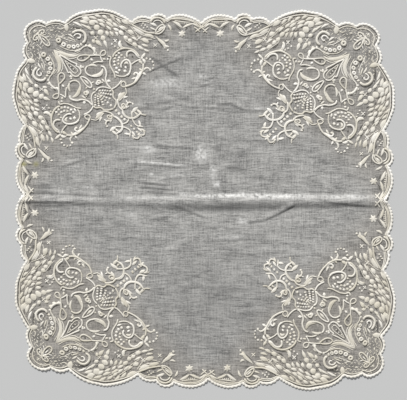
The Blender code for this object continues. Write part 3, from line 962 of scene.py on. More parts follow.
ROUND_LOBE = [
    cord(2.3, (57.6, 201.4), (55.6, 205.0), (51.4, 206.8), (46.6, 206.4), (42.8, 204.0), (40.6, 200.4)),
    cord(1.5, (54.4, 201.0), (52.6, 203.2), (48.6, 203.8), (45.2, 202.4), (43.2, 199.4)),
    loop(5.8, (51.0, 189.6), (42.0, 198.0)),
    lens(2.4, (48.2, 191.8), (42.6, 196.6)),
    cord(1.7, (52.4, 188.4), (48.0, 188.0), (44.4, 189.4), (41.6, 192.8), (40.4, 197.6)),
    drop(4.4, (51.6, 185.4), (46.6, 180.8), (42.0, 176.6), (39.0, 171.4)),
    lens(2.8, (44.0, 177.0), (39.8, 174.8), (35.6, 174.2)),
    lens(2.4, (41.6, 180.6), (38.6, 180.4), (35.8, 182.0)),
    *dots(3.0, (37.4, 170.6)),
    cord(1.0, (49.0, 182.0), (44.0, 176.4), (40.6, 171.6)),
]
MID_SCALLOP = [
    cord(1.5, (40.4, 202.8), (35.6, 204.6), (28.0, 205.4), (20.0, 205.6), (12.4, 204.4), (6.4, 201.0),
         (1.0, 195.8)),
    lens(3.4, (32.4, 202.6), (26.6, 199.9), (21.0, 196.0)),
    lens(3.2, (21.2, 196.0), (15.6, 198.8), (8.4, 200.6)),
    lens(2.6, (11.4, 201.0), (6.4, 198.8), (1.6, 195.4)),
    cord(1.2, (30.6, 203.4), (20.8, 202.8), (11.4, 202.4)),
    *[cord(0.9, (t, 203.4), (t - 0.3, 200.2)) for t in (25.4, 23.1, 20.8, 18.5, 16.2)],
    lens(3.6, (21.2, 193.6), (21.2, 184.8)),
    lens(3.6, (25.2, 191.6), (17.2, 186.8)),
    lens(3.6, (25.2, 186.8), (17.2, 191.6)),
    lens(2.6, (38.0, 199.4), (35.0, 195.6), (33.8, 191.6)),
    cord(1.4, (8.4, 196.6), (4.6, 193.6), (1.6, 190.6)),
    cord(1.6, (6.6, 190.6), (2.6, 194.0), (-2.4, 198.0)),
]


# The net's stitches: where, their pitch, the share of it between rows, and how many go out each way
NET_PATCHES = NET_GROUND[:4]
NET_PITCH = 4.4
NET_ROW_SHARE = 0.8
NET_REACH = 5


def net_stitches(
    width: float = 0.95,
    half_length: float = 1.3,
    rise: float = 0.9,
    stray: float = 0.6,
    filled: float = 0.8,
) -> list[Stitch]:
    """Short slanted stitches of the net ground, on a lattice inside each patch near a corner.

    Args:
        width: a stitch's breadth.
        half_length: half of a stitch's run along the side.
        rise: how far its end stands off, left or right by turns.
        stray: how far a stitch may lie off the lattice, by a wave of its place.
        filled: the square of how far out in a patch the stitches go, as a share of its reach.

    Returns:
        The stitches.
    """
    places = range(-NET_REACH, NET_REACH + 1)
    rows = []
    for patch, i, j in itertools.product(NET_PATCHES, places, places):
        t = patch.x + NET_PITCH * (i + 0.5 * (j % 2)) + stray * math.sin(12.9 * j + 4.1 * i)
        d = patch.y + NET_PITCH * NET_ROW_SHARE * j + stray * math.sin(7.3 * i + 2.2 * j)
        from_middle = ((t - patch.x) / patch.reach_x) ** 2 + ((d - patch.y) / patch.reach_y) ** 2
        if from_middle < filled and d >= t:
            slant = rise if (i + j) % 2 else -rise
            rows.append(lens(width, (t - half_length, d - slant), (t + half_length, d + slant)))
    return rows


# Small slits and eyelet holes, each covered by a flat piece in painted shade
HOLES = [
    lens(1.3, (116.6, 207.9), (111.0, 208.4), (106.0, 207.6)),
    lens(1.4, (124.8, 205.9), (119.8, 204.9)),
    lens(1.4, (98.4, 203.6), (95.4, 200.2)),
    lens(1.3, (93.8, 201.4), (90.2, 196.6)),
    lens(1.4, (112.4, 202.4), (107.6, 200.8)),
    lens(1.3, (103.6, 197.9), (100.0, 195.6)),
    lens(1.6, (97.2, 193.8), (93.6, 192.4)),
    lens(1.4, (90.4, 191.6), (86.6, 188.6)),
    lens(1.3, (89.2, 197.2), (85.0, 192.6)),
    lens(1.4, (126.0, 200.9), (121.0, 198.4)),
    lens(1.4, (116.6, 197.2), (112.2, 194.4)),
    lens(1.5, (111.0, 192.8), (106.8, 190.6)),
    lens(1.4, (132.6, 202.1), (127.2, 200.4)),
    lens(1.5, (105.8, 185.0), (102.8, 181.2)),
    lens(1.6, (124.6, 193.4), (120.2, 190.6)),
    lens(2.4, (85.8, 177.6), (82.0, 174.8), (78.0, 173.6)),
    lens(1.6, (83.6, 187.6), (78.8, 184.4)),
    lens(1.5, (127.8, 187.4), (125.2, 184.0)),
    lens(1.6, (122.2, 184.8), (118.6, 184.4)),
    lens(1.5, (99.6, 181.4), (98.6, 176.6)),
    lens(1.4, (73.8, 177.0), (70.2, 174.8)),
    lens(1.3, (114.2, 182.0), (111.0, 178.4)),
    lens(1.4, (140.4, 203.8), (134.0, 202.6)),
    lens(1.3, (96.4, 182.0), (92.8, 178.6)),
    lens(2.2, (149.0, 193.6), (141.0, 193.0), (132.6, 191.8)),
    lens(1.2, (142.4, 181.6), (136.8, 178.6)),
    lens(1.3, (76.4, 197.2), (72.6, 199.0), (67.6, 200.0)),
    lens(1.4, (72.0, 194.4), (66.4, 191.6)),
    lens(1.6, (62.8, 192.4), (58.0, 191.2)),
    lens(1.3, (48.6, 190.0), (44.4, 193.6)),
    lens(1.4, (50.4, 205.2), (46.6, 204.8), (43.6, 202.6)),
    lens(1.2, (46.4, 187.2), (40.4, 187.4)),
    lens(1.3, (29.6, 198.0), (24.4, 195.0), (21.4, 192.6)),
    lens(1.3, (19.4, 192.6), (15.4, 195.4), (10.4, 196.6)),
    lens(1.1, (26.2, 200.3), (20.8, 199.2), (15.8, 200.6)),
    lens(1.2, (51.0, 182.0), (46.6, 177.4), (42.8, 173.6)),
    lens(1.3, (154.6, 155.8), (149.6, 153.2), (143.6, 150.0)),
    lens(1.3, (150.6, 150.6), (146.0, 147.0), (141.6, 142.6)),
    lens(1.2, (127.4, 151.8), (121.6, 150.8)),
    lens(1.2, (118.4, 152.3), (111.4, 152.5)),
    lens(1.3, (94.0, 112.4), (90.6, 116.6), (88.8, 121.2)),
    lens(1.2, (112.6, 119.1), (107.0, 118.6), (102.4, 117.8)),
    lens(1.3, (109.2, 114.9), (104.4, 114.4), (101.6, 113.4)),
    lens(1.2, (76.8, 153.0), (72.2, 156.2)),
    lens(1.2, (125.2, 159.6), (119.8, 159.9)),
    lens(1.3, (174.6, 186.6), (178.8, 184.6)),
    lens(1.3, (98.6, 101.2), (98.0, 104.4)),
    lens(1.3, (74.8, 96.6), (72.4, 98.6)),
    *dots(2.2, (160.8, 177.6)),
    *dots(1.7, (155.4, 172.8), (149.8, 170.6), (144.5, 170.6), (116.2, 130.8)),
    *dots(1.3, (139.8, 172.0), (129.0, 117.6), (139.0, 183.6), (88.4, 103.8), (111.6, 165.0)),
    *dots(2.6, (176.6, 178.8), (133.6, 158.0), (129.6, 132.0), (78.0, 161.0)),
]


class Motif(NamedTuple):
    """Embroidery that goes by one name: its stitching, with where its copies go."""

    name: str
    parts: tuple[tuple[Copies, list[Stitch]], ...]
    whiteness: float = 1.0


CORNER_MOTIFS = (
    Motif("palmette", ((Copies.EIGHTHS, PALMETTE), (Copies.CORNERS, PALMETTE_MIDDLE))),
    Motif("lily", ((Copies.EIGHTHS, LILY), (Copies.CORNERS, LILY_MIDDLE)), whiteness=0.7),
    Motif("eyelet_row", ((Copies.EIGHTHS, EYELET_ROW + SNAIL),)),
    Motif("bow_and_basin", ((Copies.EIGHTHS, BOW + BASIN),)),
    Motif("medallion", ((Copies.EIGHTHS, MEDALLION),)),
    Motif("fan", ((Copies.EIGHTHS, FAN), (Copies.CORNERS, FAN_MIDDLE))),
    Motif("curls_and_crown", ((Copies.EIGHTHS, CURLS + CROWN + CROSSES), (Copies.CORNERS, CROWN_MIDDLE))),
)
SLITS = Motif("painted_slit_shade", ((Copies.EIGHTHS, HOLES),))
BORDER_MOTIFS = (
    Motif("big_scallop_chains", ((Copies.EIGHTHS, [plump(row) for row in BIG_SCALLOP]),), whiteness=0.35),
    Motif("small_scallop_leaves", ((Copies.EIGHTHS, SMALL_SCALLOP + ROUND_LOBE),), whiteness=0.7),
    Motif("mid_scallop_stars", ((Copies.EIGHTHS, MID_SCALLOP),), whiteness=0.45),
    Motif("net_stitches", ((Copies.EIGHTHS, net_stitches()),), whiteness=0.1),
)


# Meshes


def add_field(mesh: bpy.types.Mesh, name: str, values: np.ndarray) -> None:
    """Gives every point of a mesh a number that its material reads."""
    layer = mesh.attributes.new(name, "FLOAT", "POINT")
    layer.data.foreach_set("value", values.astype(np.float32))


@dataclass
class Skin:
    """A mesh under way: points in millimetres, quads, a length-and-round map and a tone."""

    points: np.ndarray
    quads: np.ndarray
    uv: np.ndarray
    tone: np.ndarray

    @staticmethod
    def joined(skins: list[Skin]) -> Skin:
        """Several skins as one, with the quads of each counted on from those before it."""
        starts = np.cumsum([0] + [len(skin.points) for skin in skins[:-1]])
        return Skin(
            points=np.concatenate([skin.points for skin in skins]),
            quads=np.concatenate([skin.quads + start for skin, start in zip(skins, starts)]),
            uv=np.concatenate([skin.uv for skin in skins]),
            tone=np.concatenate([skin.tone for skin in skins]),
        )

    def to_object(self, name: str, material: bpy.types.Material) -> bpy.types.Object:
        """Puts the skin into a smooth-shaded mesh object at the origin.

        Args:
            name: the piece's name.
            material: its finish.

        Returns:
            The object.
        """
        mesh = bpy.data.meshes.new(name)
        count = len(self.quads)
        mesh.vertices.add(len(self.points))
        mesh.vertices.foreach_set("co", (self.points * MM).astype(np.float32).ravel())
        mesh.loops.add(count * 4)
        mesh.loops.foreach_set("vertex_index", self.quads.astype(np.int32).ravel())
        mesh.polygons.add(count)
        mesh.polygons.foreach_set("loop_start", np.arange(count, dtype=np.int32) * 4)
        mesh.update(calc_edges=True)
        layer = mesh.uv_layers.new(name="stitches")
        layer.uv.foreach_set("vector", self.uv[self.quads.ravel()].astype(np.float32).ravel())
        add_field(mesh, "tone", self.tone)
        mesh.shade_smooth()
        mesh.validate()
        mesh.materials.append(material)
        piece = bpy.data.objects.new(name, mesh)
        bpy.context.scene.collection.objects.link(piece)
        return piece


# How deep a bead sits in the lawn, how far apart its rings are, and how many sides they have
SUNK = 0.12
CORD_STEP = 1.0
CORD_SIDES = 8


def bead(
    path: np.ndarray, width: np.ndarray, height: np.ndarray, closed: bool, sides: int, tone: float
) -> Skin:
    """A raised bead along a flat path: at each point an upright oval, width across and height tall.

    Args:
        path: the points that it follows, one a row.
        width: its breadth at each point.
        height: its height over the cloth at each point.
        closed: whether it closes on itself; an open one gets two flat caps.
        sides: how many sides the oval has, an even number.
        tone: how white its thread is, from 0 to 1.

    Returns:
        The bead, with a z that counts from the top of the cloth.
    """
    count = len(path)
    if closed:
        ahead, behind = np.roll(path, -1, axis=0), np.roll(path, 1, axis=0)
    else:
        ahead, behind = np.concatenate((path[1:], path[-1:])), np.concatenate((path[:1], path[:-1]))
    left = left_of(ahead - behind)
    turn = np.arange(sides) * 2.0 * math.pi / sides
    across = 0.5 * width[:, None] * np.cos(turn)[None, :]
    rise = 0.5 * (height[:, None] + SUNK) * (1.0 + np.sin(turn))[None, :] - SUNK
    flat = path[:, None, :] + left[:, None, :] * across[..., None]
    points = np.concatenate((flat, rise[..., None]), axis=2).reshape(-1, 3)
    around = np.arange(sides) / sides
    uv = np.stack(np.broadcast_arrays(run_along(path)[:, None] * MM, around[None, :]), axis=2)
    rings = count if closed else count - 1
    i, k = np.meshgrid(np.arange(rings), np.arange(sides), indexing="ij")
    here, beyond, next_side = i * sides, (i + 1) % count * sides, (k + 1) % sides
    quads = np.stack((here + k, here + next_side, beyond + next_side, beyond + k), axis=2).reshape(-1, 4)
    if not closed:
        k = np.arange((sides - 2) // 2)
        cap = np.stack((k, k + 1, sides - 2 - k, sides - 1 - k), axis=1)
        quads = np.concatenate((quads, cap[:, ::-1], cap + (count - 1) * sides))
    return Skin(points, quads, uv.reshape(-1, 2), np.full(len(points), tone))


# The share of a whole turn of tones by which each row's thread differs from the one before
TONE_STEP = 0.618034

# Heights over the lawn: a cord's as a share of its width, and a satin leaf's, full from a given width
CORD_RISE = 0.66
SATIN_RISE = 0.95
SATIN_FULL_WIDTH = 2.2
SLIT_FLATNESS = 0.1

# A cord's rounded end: the run of its taper in widths, and how much of it there is at the very tip
CORD_TAPER = 0.6
CORD_TIP = 0.16

# A satin leaf: the steps in its length, the least step, its fullness, its tips and a drop's skew
LEAF_STEPS = 7.0
LEAF_LEAST_STEP = 0.4
LEAF_FULLNESS = 0.72
LEAF_TIP = 0.12
LEAF_TIP_RISE = 0.2
DROP_SKEW = 1.35

# A teardrop loop: its cord, the points of its outline, and its breadth at its tip and beyond
LOOP_CORD = 1.7
LOOP_POINTS = 12
LOOP_TIP = 0.55
LOOP_SWELL = 0.45


def teardrop(row: Stitch) -> np.ndarray:
    """The closed outline of a loop, pointed where it starts and round at its end."""
    start, end = np.array(row.points[0]), np.array(row.points[-1])
    forward = end - start
    left = np.array((-forward[1], forward[0])) / np.linalg.norm(forward)
    turn = np.linspace(0.0, 2.0 * math.pi, LOOP_POINTS, endpoint=False)
    along = 0.5 - 0.5 * np.cos(turn)
    aside = 0.5 * row.width * np.sin(turn) * (LOOP_TIP + LOOP_SWELL * along)
    outline = start + along[:, None] * forward + aside[:, None] * left
    return smooth_path(tuple(map(tuple, outline)), True, CORD_STEP)


def stitched(row: Stitch, number: int) -> Skin:
    """The bead that one row of stitching makes.

    Args:
        row: the row.
        number: its place in its motif, which settles how white its thread is.

    Returns:
        Its skin. A cord's ends are rounded; a leaf's breadth follows a half wave from tip to tip,
        skewed towards its end for a drop; a loop is a teardrop whose breadth follows the same wave.
    """
    tone = (number * TONE_STEP) % 1.0
    if row.shape in (Shape.LOOP, Shape.RIM):
        is_loop = row.shape is Shape.LOOP
        path = teardrop(row) if is_loop else smooth_path(row.points, True, CORD_STEP)
        breadth = np.full(len(path), LOOP_CORD if is_loop else row.width)
        return bead(path, breadth, breadth * CORD_RISE, True, CORD_SIDES, tone)
    is_cord = row.shape is Shape.CORD
    length = sum(math.dist(a, b) for a, b in zip(row.points[:-1], row.points[1:]))
    step = CORD_STEP if is_cord else max(LEAF_LEAST_STEP, length / LEAF_STEPS)
    path = smooth_path(row.points, False, step)
    s = np.linspace(0.0, 1.0, len(path))
    if is_cord:
        near_end = np.minimum(s, 1.0 - s) * length
        taper = np.clip(near_end / (CORD_TAPER * row.width) + CORD_TIP, 0.0, 1.0)
        breadth = row.width * np.sqrt(taper)
        return bead(path, breadth, breadth * CORD_RISE, False, CORD_SIDES, tone)
    skewed = s if row.shape is Shape.LENS else s ** DROP_SKEW
    swell = np.sin(math.pi * np.clip(skewed, 0.0, 1.0)) ** LEAF_FULLNESS
    breadth = row.width * np.maximum(swell, LEAF_TIP)
    height = SATIN_RISE * np.maximum(swell, LEAF_TIP_RISE) * min(1.0, row.width / SATIN_FULL_WIDTH)
    return bead(path, breadth, height, False, CORD_SIDES, tone)


@dataclass
class Embroidery:
    """Raised needlework laid on the cloth, motif by motif."""

    cloth: ClothShape
    lawn_thickness: float
    finish: bpy.types.Material
    flatness: float = 1.0
    # How much duller the thread is towards the bottom of the cloth
    lower_dulling: float = 0.45

    def laid(self, skin: Skin, turn: np.ndarray) -> Skin:
        """One copy of a skin, turned or mirrored, drawn out of true and laid on the cloth's folds.

        Args:
            skin: the skin in (t, d).
            turn: the matrix of its copy.

        Returns:
            The copy, whose faces still point outwards.
        """
        flat = self.cloth.laid_out(self.cloth.wandered(skin.points[:, :2] @ turn.T))
        top = self.cloth.height(flat[:, 0], flat[:, 1]) + self.lawn_thickness
        points = np.column_stack((flat, skin.points[:, 2] + top))
        mirrored = np.linalg.det(turn) < 0.0
        quads = skin.quads[:, ::-1] if mirrored else skin.quads
        # The thread is duller towards the bottom of the cloth
        return Skin(points, quads, skin.uv, skin.tone - self.lower_dulling * lower_share(flat[:, 1]))

    def worked(self, motif: Motif) -> bpy.types.Object:
        """All copies of a motif as one piece.

        Args:
            motif: the motif.

        Returns:
            Its object.
        """
        skins = []
        for copies, rows in motif.parts:
            whole = Skin.joined([stitched(row, number) for number, row in enumerate(rows)])
            whole.points[:, 2] *= self.flatness
            whole.tone *= motif.whiteness
            skins += [self.laid(whole, turn) for turn in copies.turns()]
        return Skin.joined(skins).to_object(motif.name, self.finish)


@dataclass
class WorkedEdge(Embroidery):
    """The scalloped edge: a thick cord with small loops outside it, and a finer cord inside."""

    edge_width: float = 2.4
    edge_inset: float = 1.2
    edge_rise: float = 0.85
    edge_tone: float = 0.95
    loop_pitch: float = 4.2
    loop_depth: float = 0.85
    loop_rise: float = 0.35
    loop_narrowness: float = 1.4
    inner_width: float = 1.3
    inner_tone: float = 0.25
    slit_width: float = 0.95
    slit_inset: float = 2.9
    slit_rise: float = 0.08
    slit_sides: int = 4
    path_step: float = 0.7

    @staticmethod
    def inward(path: np.ndarray, distance: np.ndarray | float) -> np.ndarray:
        """A closed anticlockwise path moved to its left by a distance, which is towards the cloth."""
        left = left_of(np.roll(path, -1, axis=0) - np.roll(path, 1, axis=0))
        return path + left * np.reshape(distance, (-1, 1))

    def evened(self, path: np.ndarray) -> np.ndarray:
        """A closed path with its points spaced evenly."""
        looped = np.concatenate((path, path[:1]))
        return points_at(looped, np.arange(0.0, run_along(looped)[-1], self.path_step))

    def outline(self, side: tuple[Scallop, ...] = HALF_SIDE) -> np.ndarray:
        """The scalloped outline with its points spaced evenly, from the scallops of half a side."""
        return self.evened(self.cloth.true_outline(self.path_step, side))

    def looped_cord(self) -> bpy.types.Object:
        """The outer cord, whose outer half swells into a small loop at every pitch."""
        path = self.outline()
        run = np.arange(len(path)) * self.path_step
        uneven = run + 0.9 * np.sin(run / 17.0) + 0.6 * np.sin(run / 7.1)
        wave = np.sin(uneven * math.pi / self.loop_pitch) ** 2
        swell = np.clip(wave, 0.0, 1.0) ** self.loop_narrowness
        middle = self.inward(path, self.edge_inset - 0.5 * self.loop_depth * swell)
        width = self.edge_width + self.loop_depth * swell
        height = self.edge_rise + self.loop_rise * swell
        skin = bead(middle, width, height, True, CORD_SIDES, self.edge_tone)
        return self.laid(skin, np.eye(2)).to_object("edge_cord_with_loops", self.finish)

    def slit(self, finish: bpy.types.Material) -> bpy.types.Object:
        """The drawn-thread line between the two cords, in painted shade: a narrow flat ribbon just over the
        lawn.
        """
        middle = self.evened(self.inward(self.outline(), self.slit_inset))
        width = np.full(len(middle), self.slit_width)
        height = np.full(len(middle), self.slit_rise)
        skin = bead(middle, width, height, True, self.slit_sides, 0.0)
        return self.laid(skin, np.eye(2)).to_object("edge_slit_painted_shade", finish)

    def inner_cord(self) -> bpy.types.Object:
        """The fine cord that follows the scallops inside the edge."""
        path = self.outline(INNER_SIDE)
        width = np.full(len(path), self.inner_width)
        skin = bead(path, width, width * CORD_RISE, True, CORD_SIDES, self.inner_tone)
        return self.laid(skin, np.eye(2)).to_object("inner_edge_cord", self.finish)


@dataclass
class Lawn:
    """The sheet of sheer lawn: a grid whose rim follows the scallops, on the cloth's folds."""

    cloth: ClothShape
    columns: int = 178
    rows: int = 262
    thickness: float = 0.16
    half_square: float = 203.0
    blend_from: float = 0.72
    rim_inset: float = 0.5
    rim_step: float = 0.4
    dense_columns: tuple[float, float] = (0.05, 1.7)
    dense_rows: tuple[float, float] = (0.09, 1.8)
    corner_from: float = 180.0
    corner_fade: float = 44.0
    border_from: float = 178.0
    border_fade: float = 16.0
    warmth_above: float = 0.55
    warmth_below: float = 0.45

    @staticmethod
    def spaced(count: int, spread: float, dense: float) -> np.ndarray:
        """Places from -1 to 1, closer together near the middle where the fold is.

        Args:
            count: how many steps.
            spread: half the width of the denser middle.
            dense: how many times closer the middle is.

        Returns:
            The places.
        """
        fine = np.linspace(-1.0, 1.0, 4001)
        weight = 1.0 + (dense - 1.0) * np.exp(-((fine / spread) ** 4))
        total = np.concatenate(([0.0], np.cumsum((weight[1:] + weight[:-1]) / 2.0)))
        return np.interp(np.linspace(0.0, total[-1], count + 1), total, fine)

    def true_places(self) -> np.ndarray:
        """Grid places in the true design: a square grid whose rim is drawn out to the scallops.

        Returns:
            The places, one a row. Each place is moved along the ray from the centre by a share that
            grows smoothly from none, well inside, to all at the rim.
        """
        u = self.spaced(self.columns, *self.dense_columns)
        v = self.spaced(self.rows, *self.dense_rows)
        across, up = (grid.ravel() for grid in np.meshgrid(u, v))
        x, y = self.cloth.true_outline(self.rim_step).T
        angle, radius = np.arctan2(y, x), np.hypot(x, y) - self.rim_inset
        order = np.argsort(angle)
        reach = np.interp(np.arctan2(up, across), angle[order], radius[order], period=2.0 * math.pi)
        ring = np.maximum(np.abs(across), np.abs(up))
        square = np.hypot(across, up) * self.half_square / np.maximum(ring, 1e-9)
        share = np.clip((ring - self.blend_from) / (1.0 - self.blend_from), 0.0, 1.0)
        share = share * share * (3.0 - 2.0 * share)
        scale = self.half_square * (1.0 + (reach / square - 1.0) * share)
        return np.column_stack((across * scale, up * scale))

    def warmth(self, t: np.ndarray, d: np.ndarray, y: np.ndarray) -> np.ndarray:
        """How much of the worked ground's warm tone each place has: none on the plain field.

        Args:
            t: places along the nearest side, from its middle.
            d: places outward from the centre.
            y: places up, on the cloth as it lies.

        Returns:
            The share at each place, larger lower down.
        """
        corner = np.clip((t + d - self.corner_from) / self.corner_fade, 0.0, 1.0)
        border = np.clip((d - self.border_from) / self.border_fade, 0.0, 1.0)
        return np.maximum(corner, border) * (self.warmth_above + self.warmth_below * lower_share(y))

    def build(self, finish: bpy.types.Material) -> bpy.types.Object:
        """The sheet, with the tones of its ground and field, its painted highlights and its painted shade as
        attributes.

        Args:
            finish: the lawn's material.

        Returns:
            Its object, given its thickness by a Solidify modifier.
        """
        true = self.true_places()
        flat = self.cloth.laid_out(true)
        height = self.cloth.height(flat[:, 0], flat[:, 1])
        wide = self.columns + 1
        i, j = np.meshgrid(np.arange(self.rows), np.arange(self.columns), indexing="ij")
        corner = (i * wide + j).ravel()
        quads = np.stack((corner, corner + 1, corner + 1 + wide, corner + wide), axis=1)
        skin = Skin(np.column_stack((flat, height)), quads, flat * MM, np.full(len(flat), 0.5))
        piece = skin.to_object("lawn_sheet", finish)
        t, d = np.abs(true).min(axis=1), np.abs(true).max(axis=1)
        x, y = flat.T
        fields = {
            "worked": soft_patches(t, d, WORKED_GROUND),
            "net": soft_patches(t, d, NET_GROUND),
            # Whiter clouds with painted highlights, thinner places with painted shade, and painted shade
            # below creases
            "cloud_and_highlight": soft_patches(x, y, CLOUDS_AND_HIGHLIGHTS),
            "thin_and_shade": soft_patches(x, y, THIN_AND_SHADED_PLACES),
            "stain": soft_patches(x, y, STAINS),
            "shade": self.cloth.crease_shade(x, y),
            "warm": self.warmth(t, d, y),
        }
        for name, values in fields.items():
            add_field(piece.data, name, np.clip(values, 0.0, 1.0))
        wall = piece.modifiers.new("thickness", "SOLIDIFY")
        wall.thickness = self.thickness * MM
        wall.offset = 1.0
        wall.use_rim = True
        return piece


# Finishes


class Nodes:
    """A short way to add and join nodes in one tree."""

    def __init__(self, tree: bpy.types.NodeTree) -> None:
        """Keeps the tree, whose nodes it adds to."""
        self.tree = tree

    def fill(self, node: bpy.types.Node, inputs: dict[str | int, object]) -> None:
        """Gives some of a node's inputs what they take.

        Args:
            node: the node.
            inputs: for each input, a value, or the output that feeds it.
        """
        for name, value in inputs.items():
            if isinstance(value, bpy.types.NodeSocket):
                self.tree.links.new(value, node.inputs[name])
            else:
                node.inputs[name].default_value = value

    def add(
        self, kind: str, inputs: dict[str | int, object] | None = None, **settings: object
    ) -> bpy.types.Node:
        """Adds a node.

        Args:
            kind: the full name of the node's type.
            inputs: for each input, a value, or the output that feeds it.
            settings: the node's own settings.

        Returns:
            The node.
        """
        node = self.tree.nodes.new(kind)
        for name, value in settings.items():
            setattr(node, name, value)
        self.fill(node, inputs or {})
        return node

    def math(
        self, operation: str, first: object, second: object = 0.0, clamp: bool = False
    ) -> bpy.types.NodeSocket:
        """The result of one sum on two values or outputs."""
        node = self.add("ShaderNodeMath", {0: first, 1: second}, operation=operation, use_clamp=clamp)
        return node.outputs[0]

    def scaled(
        self, value: object, factor: object, plus: object, clamp: bool = False
    ) -> bpy.types.NodeSocket:
        """A value times a factor, with another added."""
        return self.math("ADD", self.math("MULTIPLY", value, factor), plus, clamp)

    def spread(self, value: object, middle: float, gain: object, level: object) -> bpy.types.NodeSocket:
        """A value's distance from its middle, times a gain, over a new level, and kept from 0 to 1."""
        return self.scaled(self.math("SUBTRACT", value, middle), gain, level, clamp=True)

    def mix(self, share: object, first: object, second: object, blend: str = "MIX") -> bpy.types.NodeSocket:
        """Two colours mixed, where a share of 1 gives the second, or its blend with the first."""
        inputs = {0: share, 6: first, 7: second}
        return self.add("ShaderNodeMix", inputs, data_type="RGBA", blend_type=blend).outputs[2]

    def noise(self, place: object, scale: object, detail: float, bend: float = 0.0) -> bpy.types.NodeSocket:
        """Soft noise from about 0 to 1 at each place."""
        inputs = {"Vector": place, "Scale": scale, "Detail": detail, "Distortion": bend}
        return self.add("ShaderNodeTexNoise", inputs).outputs["Fac"]

    def attribute(self, name: str) -> bpy.types.NodeSocket:
        """The value of one of the piece's own attributes."""
        return self.add("ShaderNodeAttribute", attribute_name=name).outputs["Fac"]


class EffectGroups:
    """Node groups that more than one finish can use."""

    def __init__(self) -> None:
        """Builds each group once."""
        self.tone = self.cotton_tone()
        self.stitches = self.stitch_relief()

    @staticmethod
    def new(
        name: str, inputs: list[tuple[str, str, object]], outputs: list[tuple[str, str]]
    ) -> bpy.types.NodeTree:
        """An empty group with its sockets.

        Args:
            name: the group's name.
            inputs: the name, socket type and first value of each input.
            outputs: the name and socket type of each output.

        Returns:
            The group.
        """
        group = bpy.data.node_groups.new(name, "ShaderNodeTree")
        for title, kind, value in inputs:
            socket = group.interface.new_socket(title, in_out="INPUT", socket_type=kind)
            if value is not None:
                socket.default_value = value
        for title, kind in outputs:
            group.interface.new_socket(title, in_out="OUTPUT", socket_type=kind)
        return group

    def cotton_tone(self) -> bpy.types.NodeTree:
        """Cotton that is whiter in places and yellower in others: two colours mixed by soft noise."""
        group = self.new(
            "cotton_tone",
            [
                ("Place", "NodeSocketVector", None),
                ("Clean", "NodeSocketColor", (0.8, 0.8, 0.8, 1.0)),
                ("Aged", "NodeSocketColor", (0.6, 0.6, 0.5, 1.0)),
                ("Whiteness", "NodeSocketFloat", 0.5),
                ("Grain Size", "NodeSocketFloat", 60.0),
                ("Unevenness", "NodeSocketFloat", 0.5),
            ],
            [("Colour", "NodeSocketColor")],
        )
        n = Nodes(group)
        given = n.add("NodeGroupInput")
        noise = n.noise(given.outputs["Place"], given.outputs["Grain Size"], 3.0)
        share = n.spread(noise, 0.5, given.outputs["Unevenness"], given.outputs["Whiteness"])
        colour = n.mix(share, given.outputs["Aged"], given.outputs["Clean"])
        n.add("NodeGroupOutput", {"Colour": colour})
        return group

    def stitch_relief(
        self, stray_scale: float = 900.0, stray: float = 1.2, roundness: float = 0.6
    ) -> bpy.types.NodeTree:
        """Stitches laid side by side across a cord or leaf: a rounded wave along its length, and its
        complement, by which shade is painted into the gaps between stitches.

        Args:
            stray_scale: the scale of the noise that makes them uneven.
            stray: how many pitches it moves them.
            roundness: the power of the wave, rounder the smaller it is.

        Returns:
            The group.
        """
        group = self.new(
            "stitch_relief",
            [
                ("Along", "NodeSocketVector", None),
                ("Pitch", "NodeSocketFloat", 0.0005),
                ("Place", "NodeSocketVector", None),
            ],
            [("Height", "NodeSocketFloat"), ("Gap Shade", "NodeSocketFloat")],
        )
        n = Nodes(group)
        given = n.add("NodeGroupInput")
        parts = n.add("ShaderNodeSeparateXYZ", {0: given.outputs["Along"]})
        turns = n.math("DIVIDE", parts.outputs[0], given.outputs["Pitch"])
        shifted = n.scaled(n.noise(given.outputs["Place"], stray_scale, 1.0), stray, turns)
        wave = n.math("ABSOLUTE", n.math("SINE", n.math("MULTIPLY", shifted, math.pi)))
        height = n.math("POWER", wave, roundness)
        n.add("NodeGroupOutput", {"Height": height, "Gap Shade": n.math("SUBTRACT", 1.0, height)})
        return group


class Surface(Nodes):
    """The nodes of a new material, with its shader, its Object coordinates and the shared effects."""

    def __init__(self, name: str, groups: EffectGroups) -> None:
        """Starts the material with the shader that a new one has."""
        self.material = bpy.data.materials.new(name)
        self.material.use_nodes = True
        super().__init__(self.material.node_tree)
        self.groups = groups
        self.shader = self.tree.nodes["Principled BSDF"]
        self.place = self.add("ShaderNodeTexCoord").outputs["Object"]

    def cotton(
        self, clean: Colour, aged: Colour, grain: float, unevenness: float, whiteness: object = 0.5
    ) -> bpy.types.NodeSocket:
        """Two colours mixed by soft noise.

        Args:
            clean: the whiter colour.
            aged: the duller one.
            grain: the noise's scale.
            unevenness: how far the noise moves the mix.
            whiteness: how much of the whiter colour there is without the noise.

        Returns:
            The colour.
        """
        inputs = {
            "Place": self.place,
            "Clean": clean,
            "Aged": aged,
            "Whiteness": whiteness,
            "Grain Size": grain,
            "Unevenness": unevenness,
        }
        return self.add("ShaderNodeGroup", inputs, node_tree=self.groups.tone).outputs["Colour"]

    def relief(self, height: object, strength: float, distance: float) -> bpy.types.NodeSocket:
        """The normal of fine relief that geometry is too coarse for."""
        inputs = {"Strength": strength, "Distance": distance, "Height": height}
        return self.add("ShaderNodeBump", inputs).outputs[0]

    def finished(self, inputs: dict[str | int, object]) -> bpy.types.Material:
        """Gives the shader its inputs, and returns the material."""
        self.fill(self.shader, inputs)
        return self.material


